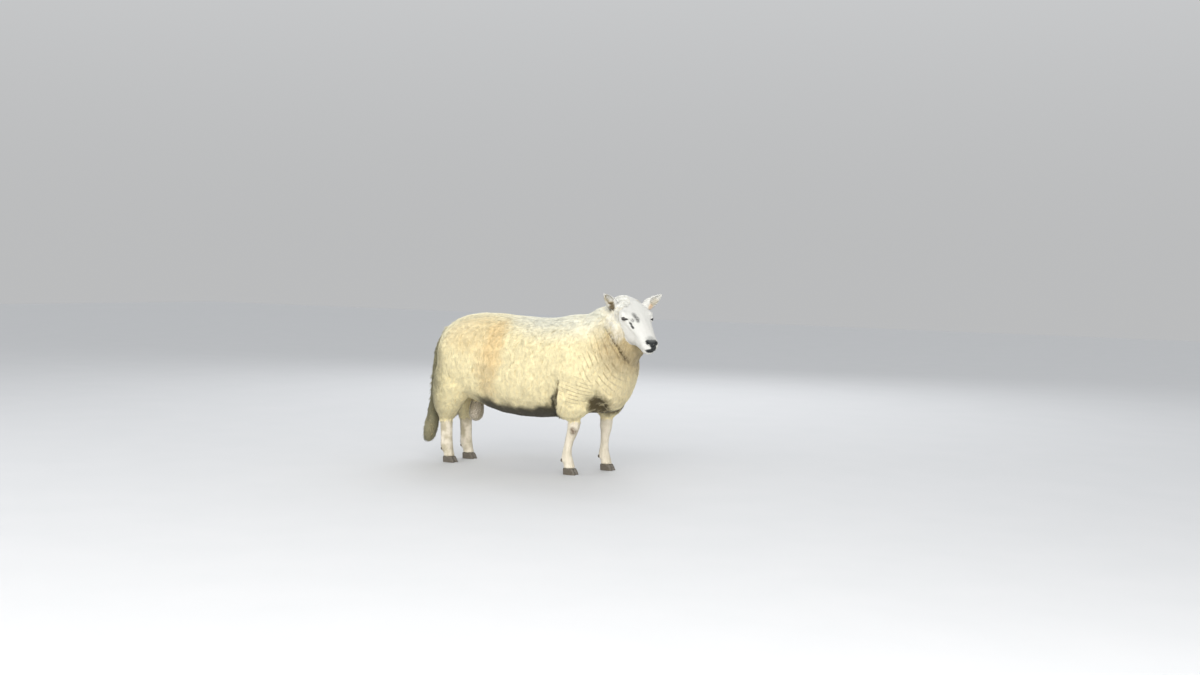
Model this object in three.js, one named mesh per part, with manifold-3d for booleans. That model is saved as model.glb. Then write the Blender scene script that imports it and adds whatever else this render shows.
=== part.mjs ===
// A life-size ram standing square in full fleece, with its head turned to its right.
// Millimetres, +Z up, +X towards the head, +Y towards the animal's left, the hooves on Z = 0.
// The surfaces are those of the coat: the tips of the wool on the body, the hair on the face and shanks.
import * as THREE from "three";
import { mergeVertices } from "three/addons/utils/BufferGeometryUtils.js";
import Module from "manifold-3d";

const wasm = await Module();
wasm.setup();
const { Manifold, Mesh } = wasm;

// ---------------------------------------------------------------- driving dimensions
const partingGap = 0.4; // between pieces that meet
const stance = {
  foreTrack: 244, // between the two fore feet, across the body
  hindTrack: 176,
  rightForeX: 256,
  leftForeX: 328,
  rightHindX: -436,
  leftHindX: -434,
};
const foreWoolLine = 258; // where the fleece ends above the bare foreleg
const hindWoolLine = 214;
const coronet = 36; // the height of the claws
const clawWidth = 25;
const dewclaw = { back: 37, inset: 1, height: 66 }; // from the middle of the hoof, and above the ground
const headPose = {
  origin: [491, 5, 780], // the poll
  turn: -36, // to the right of the body, in degrees
  nod: 34, // nose below the horizontal
};
const woolEdge = 84; // how far in front of the poll the wool ends, just behind the eyes
const eye = { at: [104, 66, 24], radius: 16 };
const earLength = 106;

// ---------------------------------------------------------------- materials
const finish = (color, roughness) => new THREE.MeshStandardMaterial({ color, roughness, metalness: 0 });
const fleece = finish(0xe2d3a6, 0.95);
const dirtyFleece = finish(0xa9997c, 0.97);
const faceHair = finish(0xece9e0, 0.85);
const legHair = finish(0xe3dacb, 0.85);
const barePink = finish(0xcbb3a2, 0.8);
const horn = finish(0x6b6255, 0.55);
const eyeGloss = finish(0x1c1610, 0.1);

// ---------------------------------------------------------------- solids from three.js geometry
const radians = THREE.MathUtils.degToRad;
const vector = (list) => new THREE.Vector3(...list);

function solidOf(geometry, matrix = new THREE.Matrix4()) {
  const bare = new THREE.BufferGeometry();
  bare.setAttribute("position", geometry.getAttribute("position").clone());
  bare.setIndex(geometry.index);
  bare.applyMatrix4(matrix);
  const merged = mergeVertices(bare, 1e-3);
  return new Manifold(
    new Mesh({ numProp: 3, vertProperties: merged.attributes.position.array, triVerts: merged.index.array }),
  );
}

function geometryOf(solid) {
  const { vertProperties, triVerts } = solid.getMesh();
  const geometry = new THREE.BufferGeometry();
  geometry.setAttribute("position", new THREE.BufferAttribute(vertProperties, 3));
  geometry.setIndex(new THREE.BufferAttribute(triVerts, 1));
  return geometry;
}

// Stations list where a limb or body goes and how far its surface reaches from that line: towards `up`
// and away from it, and to either side. A cubic runs through them.
const reachKeys = ["up", "down", "side", "square"];

function stationCurve(stations) {
  const knots = [0];
  for (let i = 1; i < stations.length; i++)
    knots.push(knots[i - 1] + vector(stations[i].at).distanceTo(vector(stations[i - 1].at)));
  const total = knots[knots.length - 1];
  const samples = stations.flatMap((s) => [...s.at, ...reachKeys.map((key) => s[key] ?? 2)]);
  const cubic = new THREE.CubicInterpolant(knots.map((k) => k / total), samples, 3 + reachKeys.length);
  return (share) => {
    const [x, y, z, up, down, side, square] = cubic.evaluate(share);
    return { centre: new THREE.Vector3(x, y, z), up, down, side, square };
  };
}

// The share of full size near a rounded end, over the last `cap` of the length.
const roundedEnd = (distance, cap, fullness) =>
  distance >= cap ? 1 : (1 - (1 - distance / cap) ** fullness) ** (1 / fullness);

// A closed body along the stations: a sphere's vertices moved on to the sections.
function sweep(stations, options) {
  const { up, around, along, caps = [0.1, 0.1], fullness = 2.2, keel = 0, swells = [] } = options;
  const flat = caps[0] === 0 ? 1 : 0;
  const curve = stationCurve(stations);
  const geometry = new THREE.SphereGeometry(1, around, along);
  const points = geometry.getAttribute("position");
  const point = new THREE.Vector3();
  for (let i = 0; i < points.count; i++) {
    point.fromBufferAttribute(points, i);
    const ring = Math.round((Math.acos(THREE.MathUtils.clamp(point.y, -1, 1)) / Math.PI) * along);
    const even = THREE.MathUtils.clamp((ring - flat) / (along - flat), 0, 1);
    const share = flat ? even : even - 0.11 * Math.sin(2 * Math.PI * even);
    const angle = Math.atan2(point.z, point.x);
    const { centre, up: high, down: low, side, square } = curve(share);
    const tangent = curve(Math.min(1, share + 1e-3)).centre.sub(curve(Math.max(0, share - 1e-3)).centre);
    const across = new THREE.Vector3().crossVectors(tangent, up).normalize();
    const rise = new THREE.Vector3().crossVectors(across, tangent).normalize();
    const start = flat ? Math.min(ring, 1) : roundedEnd(share, caps[0], fullness);
    const size = start * roundedEnd(1 - share, caps[1], fullness);
    const power = 2 / square;
    const c = Math.sign(Math.cos(angle)) * Math.abs(Math.cos(angle)) ** power;
    const s = Math.sign(Math.sin(angle)) * Math.abs(Math.sin(angle)) ** power;
    const narrow = c < 0 ? 1 + keel * c : 1;
    point.copy(centre);
    point.addScaledVector(rise, size * c * (c > 0 ? high : low));
    point.addScaledVector(across, size * s * side * narrow);
    for (const swell of swells) point.add(pushOf(swell, point));
    points.setXYZ(i, point.x, point.y, point.z);
  }
  return geometry;
}

// The same stations with the surface a little further out.
const grown = (stations, by) =>
  stations.map((s) => ({ ...s, up: s.up + by, down: s.down + by, side: s.side + by }));

// A smooth swelling or hollow: every point near `at` moves by part of `push`.
function pushOf({ at, radius, push }, point) {
  const reach = vector(radius);
  const away = vector(at).sub(point).divide(reach).lengthSq();
  return vector(push).multiplyScalar(Math.exp(-away));
}

// The same swelling on both sides of the body.
const bothSides = (swell) =>
  [1, -1].map((side) => ({
    at: [swell.at[0], swell.at[1] * side, swell.at[2]],
    radius: swell.radius,
    push: [swell.push[0], swell.push[1] * side, swell.push[2]],
  }));

const upAxis = new THREE.Vector3(0, 0, 1);
const frontAxis = new THREE.Vector3(1, 0, 0);

const headFrame = new THREE.Group();
headFrame.position.set(...headPose.origin);
headFrame.rotation.set(0, radians(headPose.nod), radians(headPose.turn), "ZYX");
headFrame.updateMatrixWorld(true);

// ---------------------------------------------------------------- trunk and neck
function trunkShape() {
  const stations = [
    { at: [-490, 0, 530], up: 140, down: 176, side: 176, square: 2.2 },
    { at: [-420, 0, 528], up: 182, down: 194, side: 202, square: 2.3 },
    { at: [-300, 0, 524], up: 220, down: 212, side: 218, square: 2.35 },
    { at: [-170, 0, 516], up: 226, down: 252, side: 230, square: 2.3 },
    { at: [0, 0, 508], up: 224, down: 266, side: 245, square: 2.25 },
    { at: [140, 0, 502], up: 234, down: 252, side: 248, square: 2.3 },
    { at: [270, 0, 498], up: 262, down: 226, side: 240, square: 2.3 },
    { at: [370, 0, 492], up: 250, down: 204, side: 222, square: 2.25 },
    { at: [450, 0, 482], up: 205, down: 192, side: 205, square: 2.15 },
    { at: [524, 0, 468], up: 160, down: 172, side: 186, square: 2.1 },
  ];
  const swells = [
    ...bothSides({ at: [-370, 190, 560], radius: [150, 110, 170], push: [0, 16, 0] }),
    ...bothSides({ at: [-215, 230, 400], radius: [60, 120, 170], push: [0, -16, 10] }),
    ...bothSides({ at: [205, 240, 400], radius: [45, 120, 130], push: [0, -18, 8] }),
    ...bothSides({ at: [300, 230, 500], radius: [100, 110, 160], push: [0, 12, 0] }),
    { at: [480, 0, 320], radius: [100, 170, 90], push: [18, 0, -14] },
    { at: [-545, 0, 480], radius: [90, 210, 150], push: [-24, 0, 0] },
  ];
  return sweep(stations, { up: upAxis, around: 24, along: 19, caps: [0.11, 0.13], fullness: 2.25, swells });
}

function neckShape() {
  const stations = [
    { at: [290, 0, 560], up: 190, down: 190, side: 196 },
    { at: [372, 0, 632], up: 154, down: 190, side: 176 },
    { at: [432, 6, 698], up: 124, down: 182, side: 146 },
    { at: [470, 8, 748], up: 104, down: 156, side: 112 },
    { at: [494, 0, 786], up: 74, down: 106, side: 78 },
  ];
  return sweep(stations, { up: upAxis, around: 20, along: 10, caps: [0.12, 0.28] });
}

// The wool that rings the head behind the cheeks and stands up behind the poll, in the head's frame.
function collarShape() {
  const stations = [
    { at: [-92, 0, -16], up: 42, down: 92, side: 66 },
    { at: [-50, 0, -10], up: 58, down: 110, side: 90 },
    { at: [0, 0, -10], up: 55, down: 118, side: 103 },
    { at: [42, 0, -16], up: 54, down: 110, side: 98 },
    { at: [woolEdge, 0, -22], up: 38, down: 84, side: 78 },
  ];
  return sweep(stations, { up: upAxis, around: 20, along: 7, caps: [0.3, 0.3] });
}

// ---------------------------------------------------------------- head, in its own frame
// X runs from the poll to the nose, Z towards the forehead.
function headShape(grow = 0) {
  const stations = [
    { at: [-46, 0, 0], up: 46, down: 90, side: 84, square: 2.2 },
    { at: [0, 0, 2], up: 49, down: 104, side: 88, square: 2.3 },
    { at: [50, 0, 2], up: 52, down: 108, side: 86, square: 2.4 },
    { at: [100, 0, 2], up: 53, down: 102, side: 78, square: 2.4 },
    { at: [150, 0, 0], up: 52, down: 88, side: 64, square: 2.4 },
    { at: [200, 0, -4], up: 46, down: 66, side: 53, square: 2.4 },
    { at: [245, 0, -8], up: 39, down: 50, side: 46, square: 2.4 },
    { at: [278, 0, -14], up: 31, down: 42, side: 41, square: 2.4 },
    { at: [300, 0, -18], up: 20, down: 32, side: 34, square: 2.2 },
  ];
  const swells = [
    ...bothSides({ at: [96, 74, 38], radius: [30, 24, 22], push: [0, 11, 7] }),
    ...bothSides({ at: [62, 78, 38], radius: [42, 28, 24], push: [0, 8, 4] }), // temple
    ...bothSides({ at: [128, 70, 14], radius: [30, 24, 24], push: [0, -7, 0] }),
    ...bothSides({ at: [58, 84, -38], radius: [44, 30, 40], push: [0, 8, -2] }),
    ...bothSides({ at: [142, 50, -62], radius: [44, 34, 34], push: [0, 15, -9] }), // angle of the jaw
    ...bothSides({ at: [264, 38, 2], radius: [20, 18, 16], push: [2, 5, 2] }),
    ...bothSides({ at: [232, 42, -34], radius: [24, 20, 16], push: [0, 4, 0] }),
  ];
  const shape = { up: upAxis, around: 21, along: 19, caps: [0.12, 0.09], fullness: 2.3, keel: 0.28, swells };
  return sweep(grown(stations, grow), shape);
}

// An ear is a leaf rolled into a scoop: a flattened sweep with its front hollowed out.
function earShape(side) {
  const root = new THREE.Vector3(8, 78 * side, 22);
  const lie = new THREE.Vector3(-0.06, 0.72 * side, 0.66).normalize();
  const front = new THREE.Vector3(0.85, -0.15 * side, 0.5).normalize();
  const along = (share) => root.clone().addScaledVector(lie, share * earLength).toArray();
  const leaf = [
    { at: along(0), up: 24, down: 24, side: 28 },
    { at: along(0.3), up: 20, down: 21, side: 29 },
    { at: along(0.55), up: 14, down: 17, side: 24 },
    { at: along(0.8), up: 8, down: 12, side: 14 },
    { at: along(1), up: 4, down: 7, side: 4 },
  ];
  const scoop = [
    { at: along(0.3), up: 40, down: 10, side: 13 },
    { at: along(0.5), up: 40, down: 10, side: 18 },
    { at: along(0.75), up: 30, down: 6, side: 10 },
    { at: along(0.93), up: 20, down: 1, side: 3 },
  ];
  const outside = solidOf(sweep(leaf, { up: front, around: 11, along: 7, caps: [0.12, 0.2] }));
  const hollow = solidOf(sweep(scoop, { up: front, around: 9, along: 5, caps: [0.2, 0.3] }));
  return outside.subtract(hollow).transform(headFrame.matrixWorld.elements);
}

// ---------------------------------------------------------------- limbs, tail and scrotum
function foreLegShapes(x, y, lean, sleeve) {
  const out = Math.sign(y);
  const arm = [
    { at: [x + 18, y - 8 * out, 500], up: 92, down: 96, side: 70 },
    { at: [x + 16, y - 2 * out, 420], up: 40 + sleeve * 0.6, down: 92, side: 72 },
    { at: [x + 14, y, 340], up: sleeve, down: 84, side: 68 },
    { at: [x + 14, y, 285], up: sleeve * 0.7, down: 74, side: 57 },
    { at: [x + 14, y, 248], up: sleeve * 0.45, down: 56, side: 44 },
  ];
  const shank = [
    { at: [x + lean, y, 330], up: 38, down: 38, side: 32 },
    { at: [x + lean, y, 262], up: 34, down: 36, side: 29 },
    { at: [x + lean * 0.8, y, 212], up: 30, down: 29, side: 29, square: 2.3 },
    { at: [x + lean * 0.5, y, 182], up: 24, down: 25, side: 25, square: 2.3 },
    { at: [x + lean * 0.15, y, 140], up: 21, down: 24, side: 21 },
    { at: [x, y, 104], up: 22, down: 25, side: 22 },
    { at: [x, y, 78], up: 26, down: 31, side: 27 },
    { at: [x + 6, y, 58], up: 27, down: 27, side: 27 },
    { at: [x + 12, y, coronet], up: 27, down: 26, side: 27 },
    { at: [x + 12, y, coronet - 14], up: 27, down: 26, side: 27 },
  ];
  return [
    solidOf(sweep(arm, { up: frontAxis, around: 15, along: 8, caps: [0.12, 0.2] })),
    solidOf(sweep(shank, { up: frontAxis, around: 12, along: 15, caps: [0.03, 0.04] })),
  ];
}

function hindLegShapes(x, y) {
  const out = Math.sign(y);
  const thigh = [
    { at: [x + 140, 100 * out, 610], up: 120, down: 110, side: 84 },
    { at: [x + 82, 116 * out, 500], up: 134, down: 112, side: 98 },
    { at: [x + 36, 117 * out, 390], up: 116, down: 93, side: 92 },
    { at: [x + 8, 104 * out, 300], up: 82, down: 74, side: 72 },
    { at: [x - 2, y, 244], up: 54, down: 52, side: 54 },
    { at: [x - 2, y, 204], up: 42, down: 40, side: 44 },
  ];
  const shank = [
    { at: [x - 4, y, 300], up: 40, down: 42, side: 32 },
    { at: [x - 8, y, 250], up: 38, down: 42, side: 31 },
    { at: [x - 6, y, 205], up: 34, down: 36, side: 29 },
    { at: [x - 4, y, 150], up: 32, down: 34, side: 27 },
    { at: [x - 2, y, 108], up: 31, down: 34, side: 27 },
    { at: [x, y, 80], up: 33, down: 35, side: 29 },
    { at: [x + 6, y, 60], up: 29, down: 29, side: 27 },
    { at: [x + 12, y, coronet], up: 27, down: 26, side: 27 },
    { at: [x + 12, y, coronet - 14], up: 27, down: 26, side: 27 },
  ];
  return [
    solidOf(sweep(thigh, { up: frontAxis, around: 15, along: 10, caps: [0.16, 0.1] })),
    solidOf(sweep(shank, { up: frontAxis, around: 12, along: 14, caps: [0.03, 0.04] })),
  ];
}

function tailShape() {
  const stations = [
    { at: [-452, 0, 668], up: 40, down: 40, side: 50 },
    { at: [-523, 0, 570], up: 34, down: 34, side: 48 },
    { at: [-549, -6, 440], up: 30, down: 28, side: 42 },
    { at: [-550, -16, 320], up: 30, down: 28, side: 39 },
    { at: [-558, -30, 220], up: 32, down: 32, side: 40 },
    { at: [-568, -44, 136], up: 33, down: 33, side: 40 },
    { at: [-572, -50, 84], up: 22, down: 24, side: 28 },
  ];
  return solidOf(sweep(stations, { up: frontAxis, around: 11, along: 12, caps: [0.08, 0.08] }));
}

function scrotumShape() {
  const stations = [
    { at: [-318, 0, 380], up: 34, down: 34, side: 34 },
    { at: [-320, 0, 316], up: 30, down: 30, side: 32 },
    { at: [-324, 0, 264], up: 36, down: 36, side: 44 },
    { at: [-326, 0, 226], up: 34, down: 34, side: 42 },
    { at: [-326, 0, 200], up: 22, down: 22, side: 26 },
  ];
  return solidOf(sweep(stations, { up: frontAxis, around: 11, along: 9, caps: [0.1, 0.16] }));
}

// A claw is one toe of a cloven hoof: a flat sole, a toe that slopes back to the coronet.
function clawShape(outward) {
  const half = clawWidth / 2 - partingGap;
  const stations = [
    { at: [0, 0, 0], up: 42, down: 26, side: half, square: 2.2 },
    { at: [0, 0, 14], up: 36, down: 27, side: half, square: 2.2 },
    { at: [0, 0, 26], up: 29, down: 27, side: half, square: 2.2 },
    { at: [0, 0, coronet], up: 25, down: 25, side: half - 1.5, square: 2 },
  ];
  const lean = { at: [42, 0, 0], radius: [26, 60, 60], push: [0, 3 * outward, 0] };
  return sweep(stations, { up: frontAxis, around: 11, along: 6, caps: [0, 0.12], swells: [lean] });
}

function dewclawShape(grow = 0) {
  return new THREE.SphereGeometry(1, 7, 4).scale(9 + grow, 7 + grow, 11 + grow);
}

// ---------------------------------------------------------------- parting
// A box given by its lowest and highest corners, in the frame of `matrix`.
function block(low, high, matrix) {
  const size = vector(high).sub(vector(low));
  const middle = vector(high).add(vector(low)).multiplyScalar(0.5);
  return solidOf(new THREE.BoxGeometry(...size).translate(...middle), matrix);
}

const widened = (low, high, gap) => [low.map((v) => v - gap), high.map((v) => v + gap)];

const model = new THREE.Group();

function addNode(name, geometry, material, parent = model) {
  const mesh = new THREE.Mesh(geometry, material);
  mesh.name = name;
  parent.add(mesh);
  return mesh;
}

const joined = (solids) => solids.reduce((a, b) => a.add(b));
const largest = (solid) => solid.decompose().sort((a, b) => b.volume() - a.volume())[0];

const feet = [
  { name: "fore_right", x: stance.rightForeX, y: -stance.foreTrack / 2, fore: true, lean: 34, sleeve: 122 },
  { name: "fore_left", x: stance.leftForeX, y: stance.foreTrack / 2, fore: true, lean: 8, sleeve: 84 },
  { name: "hind_right", x: stance.rightHindX, y: -stance.hindTrack / 2, fore: false },
  { name: "hind_left", x: stance.leftHindX, y: stance.hindTrack / 2, fore: false },
];

const limbs = feet.flatMap(({ fore, x, y, lean, sleeve }) =>
  fore ? foreLegShapes(x, y, lean, sleeve) : hindLegShapes(x, y),
);
const collar = solidOf(collarShape(), headFrame.matrixWorld);
let body = joined([solidOf(trunkShape()), solidOf(neckShape()), collar, ...limbs]);

// The fetlocks are cut clear of the dewclaws that sit in them.
for (const foot of feet)
  for (const outward of [1, -1]) {
    const side = foot.y + outward * (clawWidth / 2 - dewclaw.inset);
    const seat = new THREE.Matrix4().makeTranslation(foot.x + 12 - dewclaw.back, side, dewclaw.height);
    body = body.subtract(solidOf(dewclawShape(partingGap), seat));
  }

// Takes what lies in a box off the body as a piece of its own, with the parting gap round it.
function partOff(low, high, matrix) {
  const piece = largest(body.intersect(block(low, high, matrix)));
  body = largest(body.subtract(block(...widened(low, high, partingGap), matrix)));
  return piece;
}

for (const foot of feet) {
  const inner = foot.fore ? 62 : 16;
  const span = foot.fore ? [-110, 165] : [-110, 175];
  const woolLine = foot.fore ? foreWoolLine : hindWoolLine;
  const top = foot.fore ? 400 : 430;
  const across = foot.y > 0 ? [inner, 330] : [-330, -inner];
  const low = [foot.x + span[0], across[0], coronet + partingGap];
  const high = [foot.x + span[1], across[1], woolLine];
  addNode(`${foot.name}_shank`, geometryOf(partOff(low, high)), legHair);
  low[2] = woolLine + partingGap;
  high[2] = top;
  addNode(`${foot.name}_${foot.fore ? "arm" : "thigh"}`, geometryOf(partOff(low, high)), fleece);
}

// Eyes: balls set into the head, which is cut clear of them.
const eyes = [1, -1].map((side) => {
  const ball = new THREE.SphereGeometry(eye.radius, 14, 8);
  ball.translate(eye.at[0], eye.at[1] * side, eye.at[2]);
  const socket = new THREE.SphereGeometry(eye.radius + partingGap, 14, 8);
  socket.translate(eye.at[0], eye.at[1] * side, eye.at[2]);
  return { side, ball, socket: solidOf(socket, headFrame.matrixWorld) };
});
// The head fills its whole shape in front of the poll, and the neck's wool is cut round it.
const headSpace = (grow) =>
  solidOf(headShape(grow), headFrame.matrixWorld).intersect(
    block([-8 - grow, -200, -200], [400, 200, 200], headFrame.matrixWorld),
  );
const skull = headSpace(0);
body = largest(body.subtract(headSpace(partingGap)));
addNode("head", geometryOf(skull.subtract(eyes[0].socket).subtract(eyes[1].socket)), faceHair);
for (const { side, ball } of eyes) addNode(side > 0 ? "eye_left" : "eye_right", ball, eyeGloss, headFrame);
model.add(headFrame);

const neckCut = new THREE.Matrix4().makeRotationY(radians(-41)).setPosition(425, 0, 660);
addNode("neck", geometryOf(partOff([0, -330, -400], [500, 330, 400], neckCut)), fleece);
addNode("trunk", geometryOf(body), fleece);

// Ears, tail and scrotum stop a parting gap short of what they grow from.
const clearOf = (solid, ...neighbours) => {
  let left = neighbours.reduce((a, b) => a.subtract(b), solid);
  for (const other of neighbours)
    for (let axis = 0; axis < 3; axis++)
      for (const step of [-partingGap, partingGap]) {
        const move = [0, 0, 0];
        move[axis] = step;
        left = left.subtract(other.translate(move));
      }
  return largest(left);
};
const nodeSolid = (name) => solidOf(model.getObjectByName(name).geometry);
const neckSolid = nodeSolid("neck");
const trunkSolid = nodeSolid("trunk");
const thighSolids = [nodeSolid("hind_left_thigh"), nodeSolid("hind_right_thigh")];
for (const side of [1, -1]) {
  const ear = clearOf(earShape(side), skull, neckSolid);
  addNode(side > 0 ? "ear_left" : "ear_right", geometryOf(ear), faceHair);
}
addNode("tail", geometryOf(clearOf(tailShape(), trunkSolid, ...thighSolids)), dirtyFleece);
addNode("scrotum", geometryOf(clearOf(scrotumShape(), trunkSolid, ...thighSolids)), barePink);

// ---------------------------------------------------------------- hooves
for (const foot of feet)
  for (const outward of [1, -1]) {
    const hoof = new THREE.Group();
    hoof.position.set(foot.x + 12, foot.y + (outward * clawWidth) / 2, 0);
    const label = outward * foot.y > 0 ? "outer" : "inner";
    addNode(`${foot.name}_claw_${label}`, clawShape(outward), horn, hoof);
    const spur = addNode(`${foot.name}_dewclaw_${label}`, dewclawShape(), horn, hoof);
    spur.position.set(-dewclaw.back, -outward * dewclaw.inset, dewclaw.height);
    model.add(hoof);
  }

// ---------------------------------------------------------------- origin at the middle of the footprint
model.updateMatrixWorld(true);
const box = new THREE.Box3().setFromObject(model, true);
const middle = box.getCenter(new THREE.Vector3());
const ram = new THREE.Group();
model.position.set(-middle.x, -middle.y, -box.min.z);
ram.add(model);

export default ram;
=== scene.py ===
# A life-size ram in full fleece: one skin, a coat of solid wool locks and hair, eyes, lids and hooves.
import math
import bpy
import numpy as np
from mathutils import Matrix, Vector
from mathutils.bvhtree import BVHTree
from mathutils.kdtree import KDTree


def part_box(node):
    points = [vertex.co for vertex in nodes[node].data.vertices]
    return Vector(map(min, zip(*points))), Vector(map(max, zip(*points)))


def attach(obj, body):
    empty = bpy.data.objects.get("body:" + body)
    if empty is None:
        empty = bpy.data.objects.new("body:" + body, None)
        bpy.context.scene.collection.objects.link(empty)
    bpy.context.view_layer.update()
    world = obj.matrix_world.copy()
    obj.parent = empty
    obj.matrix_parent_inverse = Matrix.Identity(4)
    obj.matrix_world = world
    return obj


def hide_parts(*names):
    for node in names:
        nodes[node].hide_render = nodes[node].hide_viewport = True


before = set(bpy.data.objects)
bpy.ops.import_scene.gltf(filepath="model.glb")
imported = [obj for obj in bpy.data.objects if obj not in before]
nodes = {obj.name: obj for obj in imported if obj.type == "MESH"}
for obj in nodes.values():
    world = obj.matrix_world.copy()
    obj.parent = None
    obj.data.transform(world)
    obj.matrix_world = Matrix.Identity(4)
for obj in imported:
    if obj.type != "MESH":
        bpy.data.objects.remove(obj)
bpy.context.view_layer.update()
scene = bpy.context.scene


# ---- small helpers

def deselectAll():
    for item in bpy.context.selected_objects:
        item.select_set(False)


def pick(item):
    deselectAll()
    item.select_set(True)
    bpy.context.view_layer.objects.active = item


def copyNodes(name, nodeNames):
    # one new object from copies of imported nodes, with the doubled corners merged
    deselectAll()
    for nodeName in nodeNames:
        copy = bpy.data.objects.new(name, nodes[nodeName].data.copy())
        scene.collection.objects.link(copy)
        copy.select_set(True)
        bpy.context.view_layer.objects.active = copy
    if len(nodeNames) > 1:
        bpy.ops.object.join()
    made = bpy.context.view_layer.objects.active
    made.name = name
    made.data.name = name
    made.data.materials.clear()
    bpy.ops.object.mode_set(mode="EDIT")
    bpy.ops.mesh.select_all(action="SELECT")
    bpy.ops.mesh.remove_doubles(threshold=1e-5)
    bpy.ops.object.mode_set(mode="OBJECT")
    return made


def finishModifier(item, kind, **values):
    pick(item)
    modifier = item.modifiers.new(kind.lower(), kind)
    for key, value in values.items():
        setattr(modifier, key, value)
    bpy.ops.object.modifier_apply(modifier=modifier.name)


def pointsOf(mesh):
    found = np.empty(len(mesh.vertices) * 3)
    mesh.vertices.foreach_get("co", found)
    return found.reshape(-1, 3)


def putPoints(mesh, points):
    mesh.vertices.foreach_set("co", np.asarray(points, float).ravel())
    mesh.update()


def normalsOf(mesh):
    found = np.empty(len(mesh.vertices) * 3, np.float32)
    mesh.vertex_normals.foreach_get("vector", found)
    return found.reshape(-1, 3).astype(float)


def edgesOf(mesh):
    found = np.empty(len(mesh.edges) * 2, np.int32)
    mesh.edges.foreach_get("vertices", found)
    return found.reshape(-1, 2)


def storeValues(mesh, name, values):
    layer = mesh.attributes.get(name) or mesh.attributes.new(name, "FLOAT", "POINT")
    layer.data.foreach_set("value", np.asarray(values, np.float32))


def readValues(mesh, name):
    found = np.empty(len(mesh.vertices), np.float32)
    mesh.attributes[name].data.foreach_get("value", found)
    return found.astype(float)


def neighbourMean(values, edges, count):
    # the mean of each point's neighbours along the mesh
    flat = values.reshape(count, -1)
    total = np.zeros_like(flat)
    degree = np.bincount(edges.ravel(), minlength=count)
    for a, b in ((0, 1), (1, 0)):
        for axis in range(flat.shape[1]):
            total[:, axis] += np.bincount(edges[:, a], weights=flat[edges[:, b], axis], minlength=count)
    return (total / np.maximum(degree, 1)[:, None]).reshape(values.shape)


def relax(values, edges, rounds, share=0.5, weight=None):
    count = len(values)
    for _ in range(rounds):
        step = share * (neighbourMean(values, edges, count) - values)
        if weight is not None:
            step = step * (weight[:, None] if values.ndim == 2 else weight)
        values = values + step
    return values


def relaxKeepingSize(points, edges, rounds, weight=None):
    for _ in range(rounds):
        points = relax(points, edges, 1, 0.5, weight)
        points = relax(points, edges, 1, -0.52, weight)
    return points


def unit(vectors):
    return vectors / np.maximum(np.linalg.norm(vectors, axis=-1, keepdims=True), 1e-9)


def smoothStep(low, high, values):
    share = np.clip((np.asarray(values, float) - low) / (high - low), 0, 1)
    return share * share * (3 - 2 * share)


def rolling(points, size, seed, octaves=1):
    # smooth lumps of about that size, from -1 to 1, the same on each run
    dice = np.random.default_rng(seed)
    total = np.zeros(len(points))
    reach = 0
    for octave in range(octaves):
        layer = np.zeros(len(points))
        for _ in range(7):
            heading = dice.normal(size=3)
            heading = heading / np.linalg.norm(heading)
            wave = 2 * math.pi / (size * 0.5**octave) * dice.uniform(0.6, 1.3)
            layer += np.sin(points @ (heading * wave) + dice.uniform(0, 2 * math.pi))
        total += layer / 3.7 * 0.55**octave
        reach += 0.55**octave
    return np.clip(total / reach, -1, 1)


# ---- the head's own frame: millimetres from the poll, x to the nose, z to the forehead

headPose = {
    "turn": -36,  # to the animal's right, in degrees
    "nod": 34,
    "eyeAt": (104, 66, 24),
    "eyeRadius": 15.2,
}


def boxCentre(name):
    low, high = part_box(name)
    return (np.array(low) + np.array(high)) / 2


def turnAbout(angle, axis):
    return Matrix.Rotation(math.radians(headPose[angle]), 3, axis)


headTurn = np.array(turnAbout("turn", "Z") @ turnAbout("nod", "Y"))
eyeMiddle = (boxCentre("eye_left") + boxCentre("eye_right")) / 2
headOrigin = eyeMiddle - headTurn @ (np.array([headPose["eyeAt"][0], 0, headPose["eyeAt"][2]]) / 1000)


def toHead(points):
    return (points - headOrigin) @ headTurn * 1000


def fromHead(points):
    return np.asarray(points, float) / 1000 @ headTurn.T + headOrigin


# ---- camera and light

cameraSettings = {
    "place": (3.4538, -6.1898, 0.9697),
    "heading": 27,  # degrees from straight across the body
    "pitch": -2.68,
    "roll": 1.36,
    "lens": 44.1,
}


def makeCamera():
    heading, pitch, roll = (math.radians(cameraSettings[key]) for key in ("heading", "pitch", "roll"))
    bpy.ops.object.camera_add(location=cameraSettings["place"])
    camera = bpy.context.object
    camera.name = "camera"
    turned = (
        Matrix.Rotation(heading, 3, "Z")
        @ Matrix.Rotation(math.pi / 2 + pitch, 3, "X")
        @ Matrix.Rotation(roll, 3, "Z")
    )
    camera.rotation_euler = turned.to_euler()
    camera.data.lens = cameraSettings["lens"]
    camera.data.sensor_width = 36
    camera.data.clip_end = 60
    camera.data.dof.use_dof = False
    scene.camera = camera


lightSettings = {
    "key": {"at": (1.2, -5.4, 3.4), "size": 4.5, "power": 182, "tone": (1.0, 0.98, 0.95)},
    "front": {"at": (5.0, -5.0, 1.1), "size": 2.4, "power": 212, "tone": (1.0, 0.99, 0.97)},
    "fill": {"at": (-4.6, -4.6, 1.6), "size": 2.8, "power": 105, "tone": (0.97, 0.98, 1.0)},
    "rear": {"at": (-1.5, 4.6, 4.2), "size": 4.0, "power": 130, "tone": (0.97, 0.98, 1.0)},
    "sky": {"low": (0.50, 0.505, 0.51), "high": (0.84, 0.86, 0.88)},
}


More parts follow.
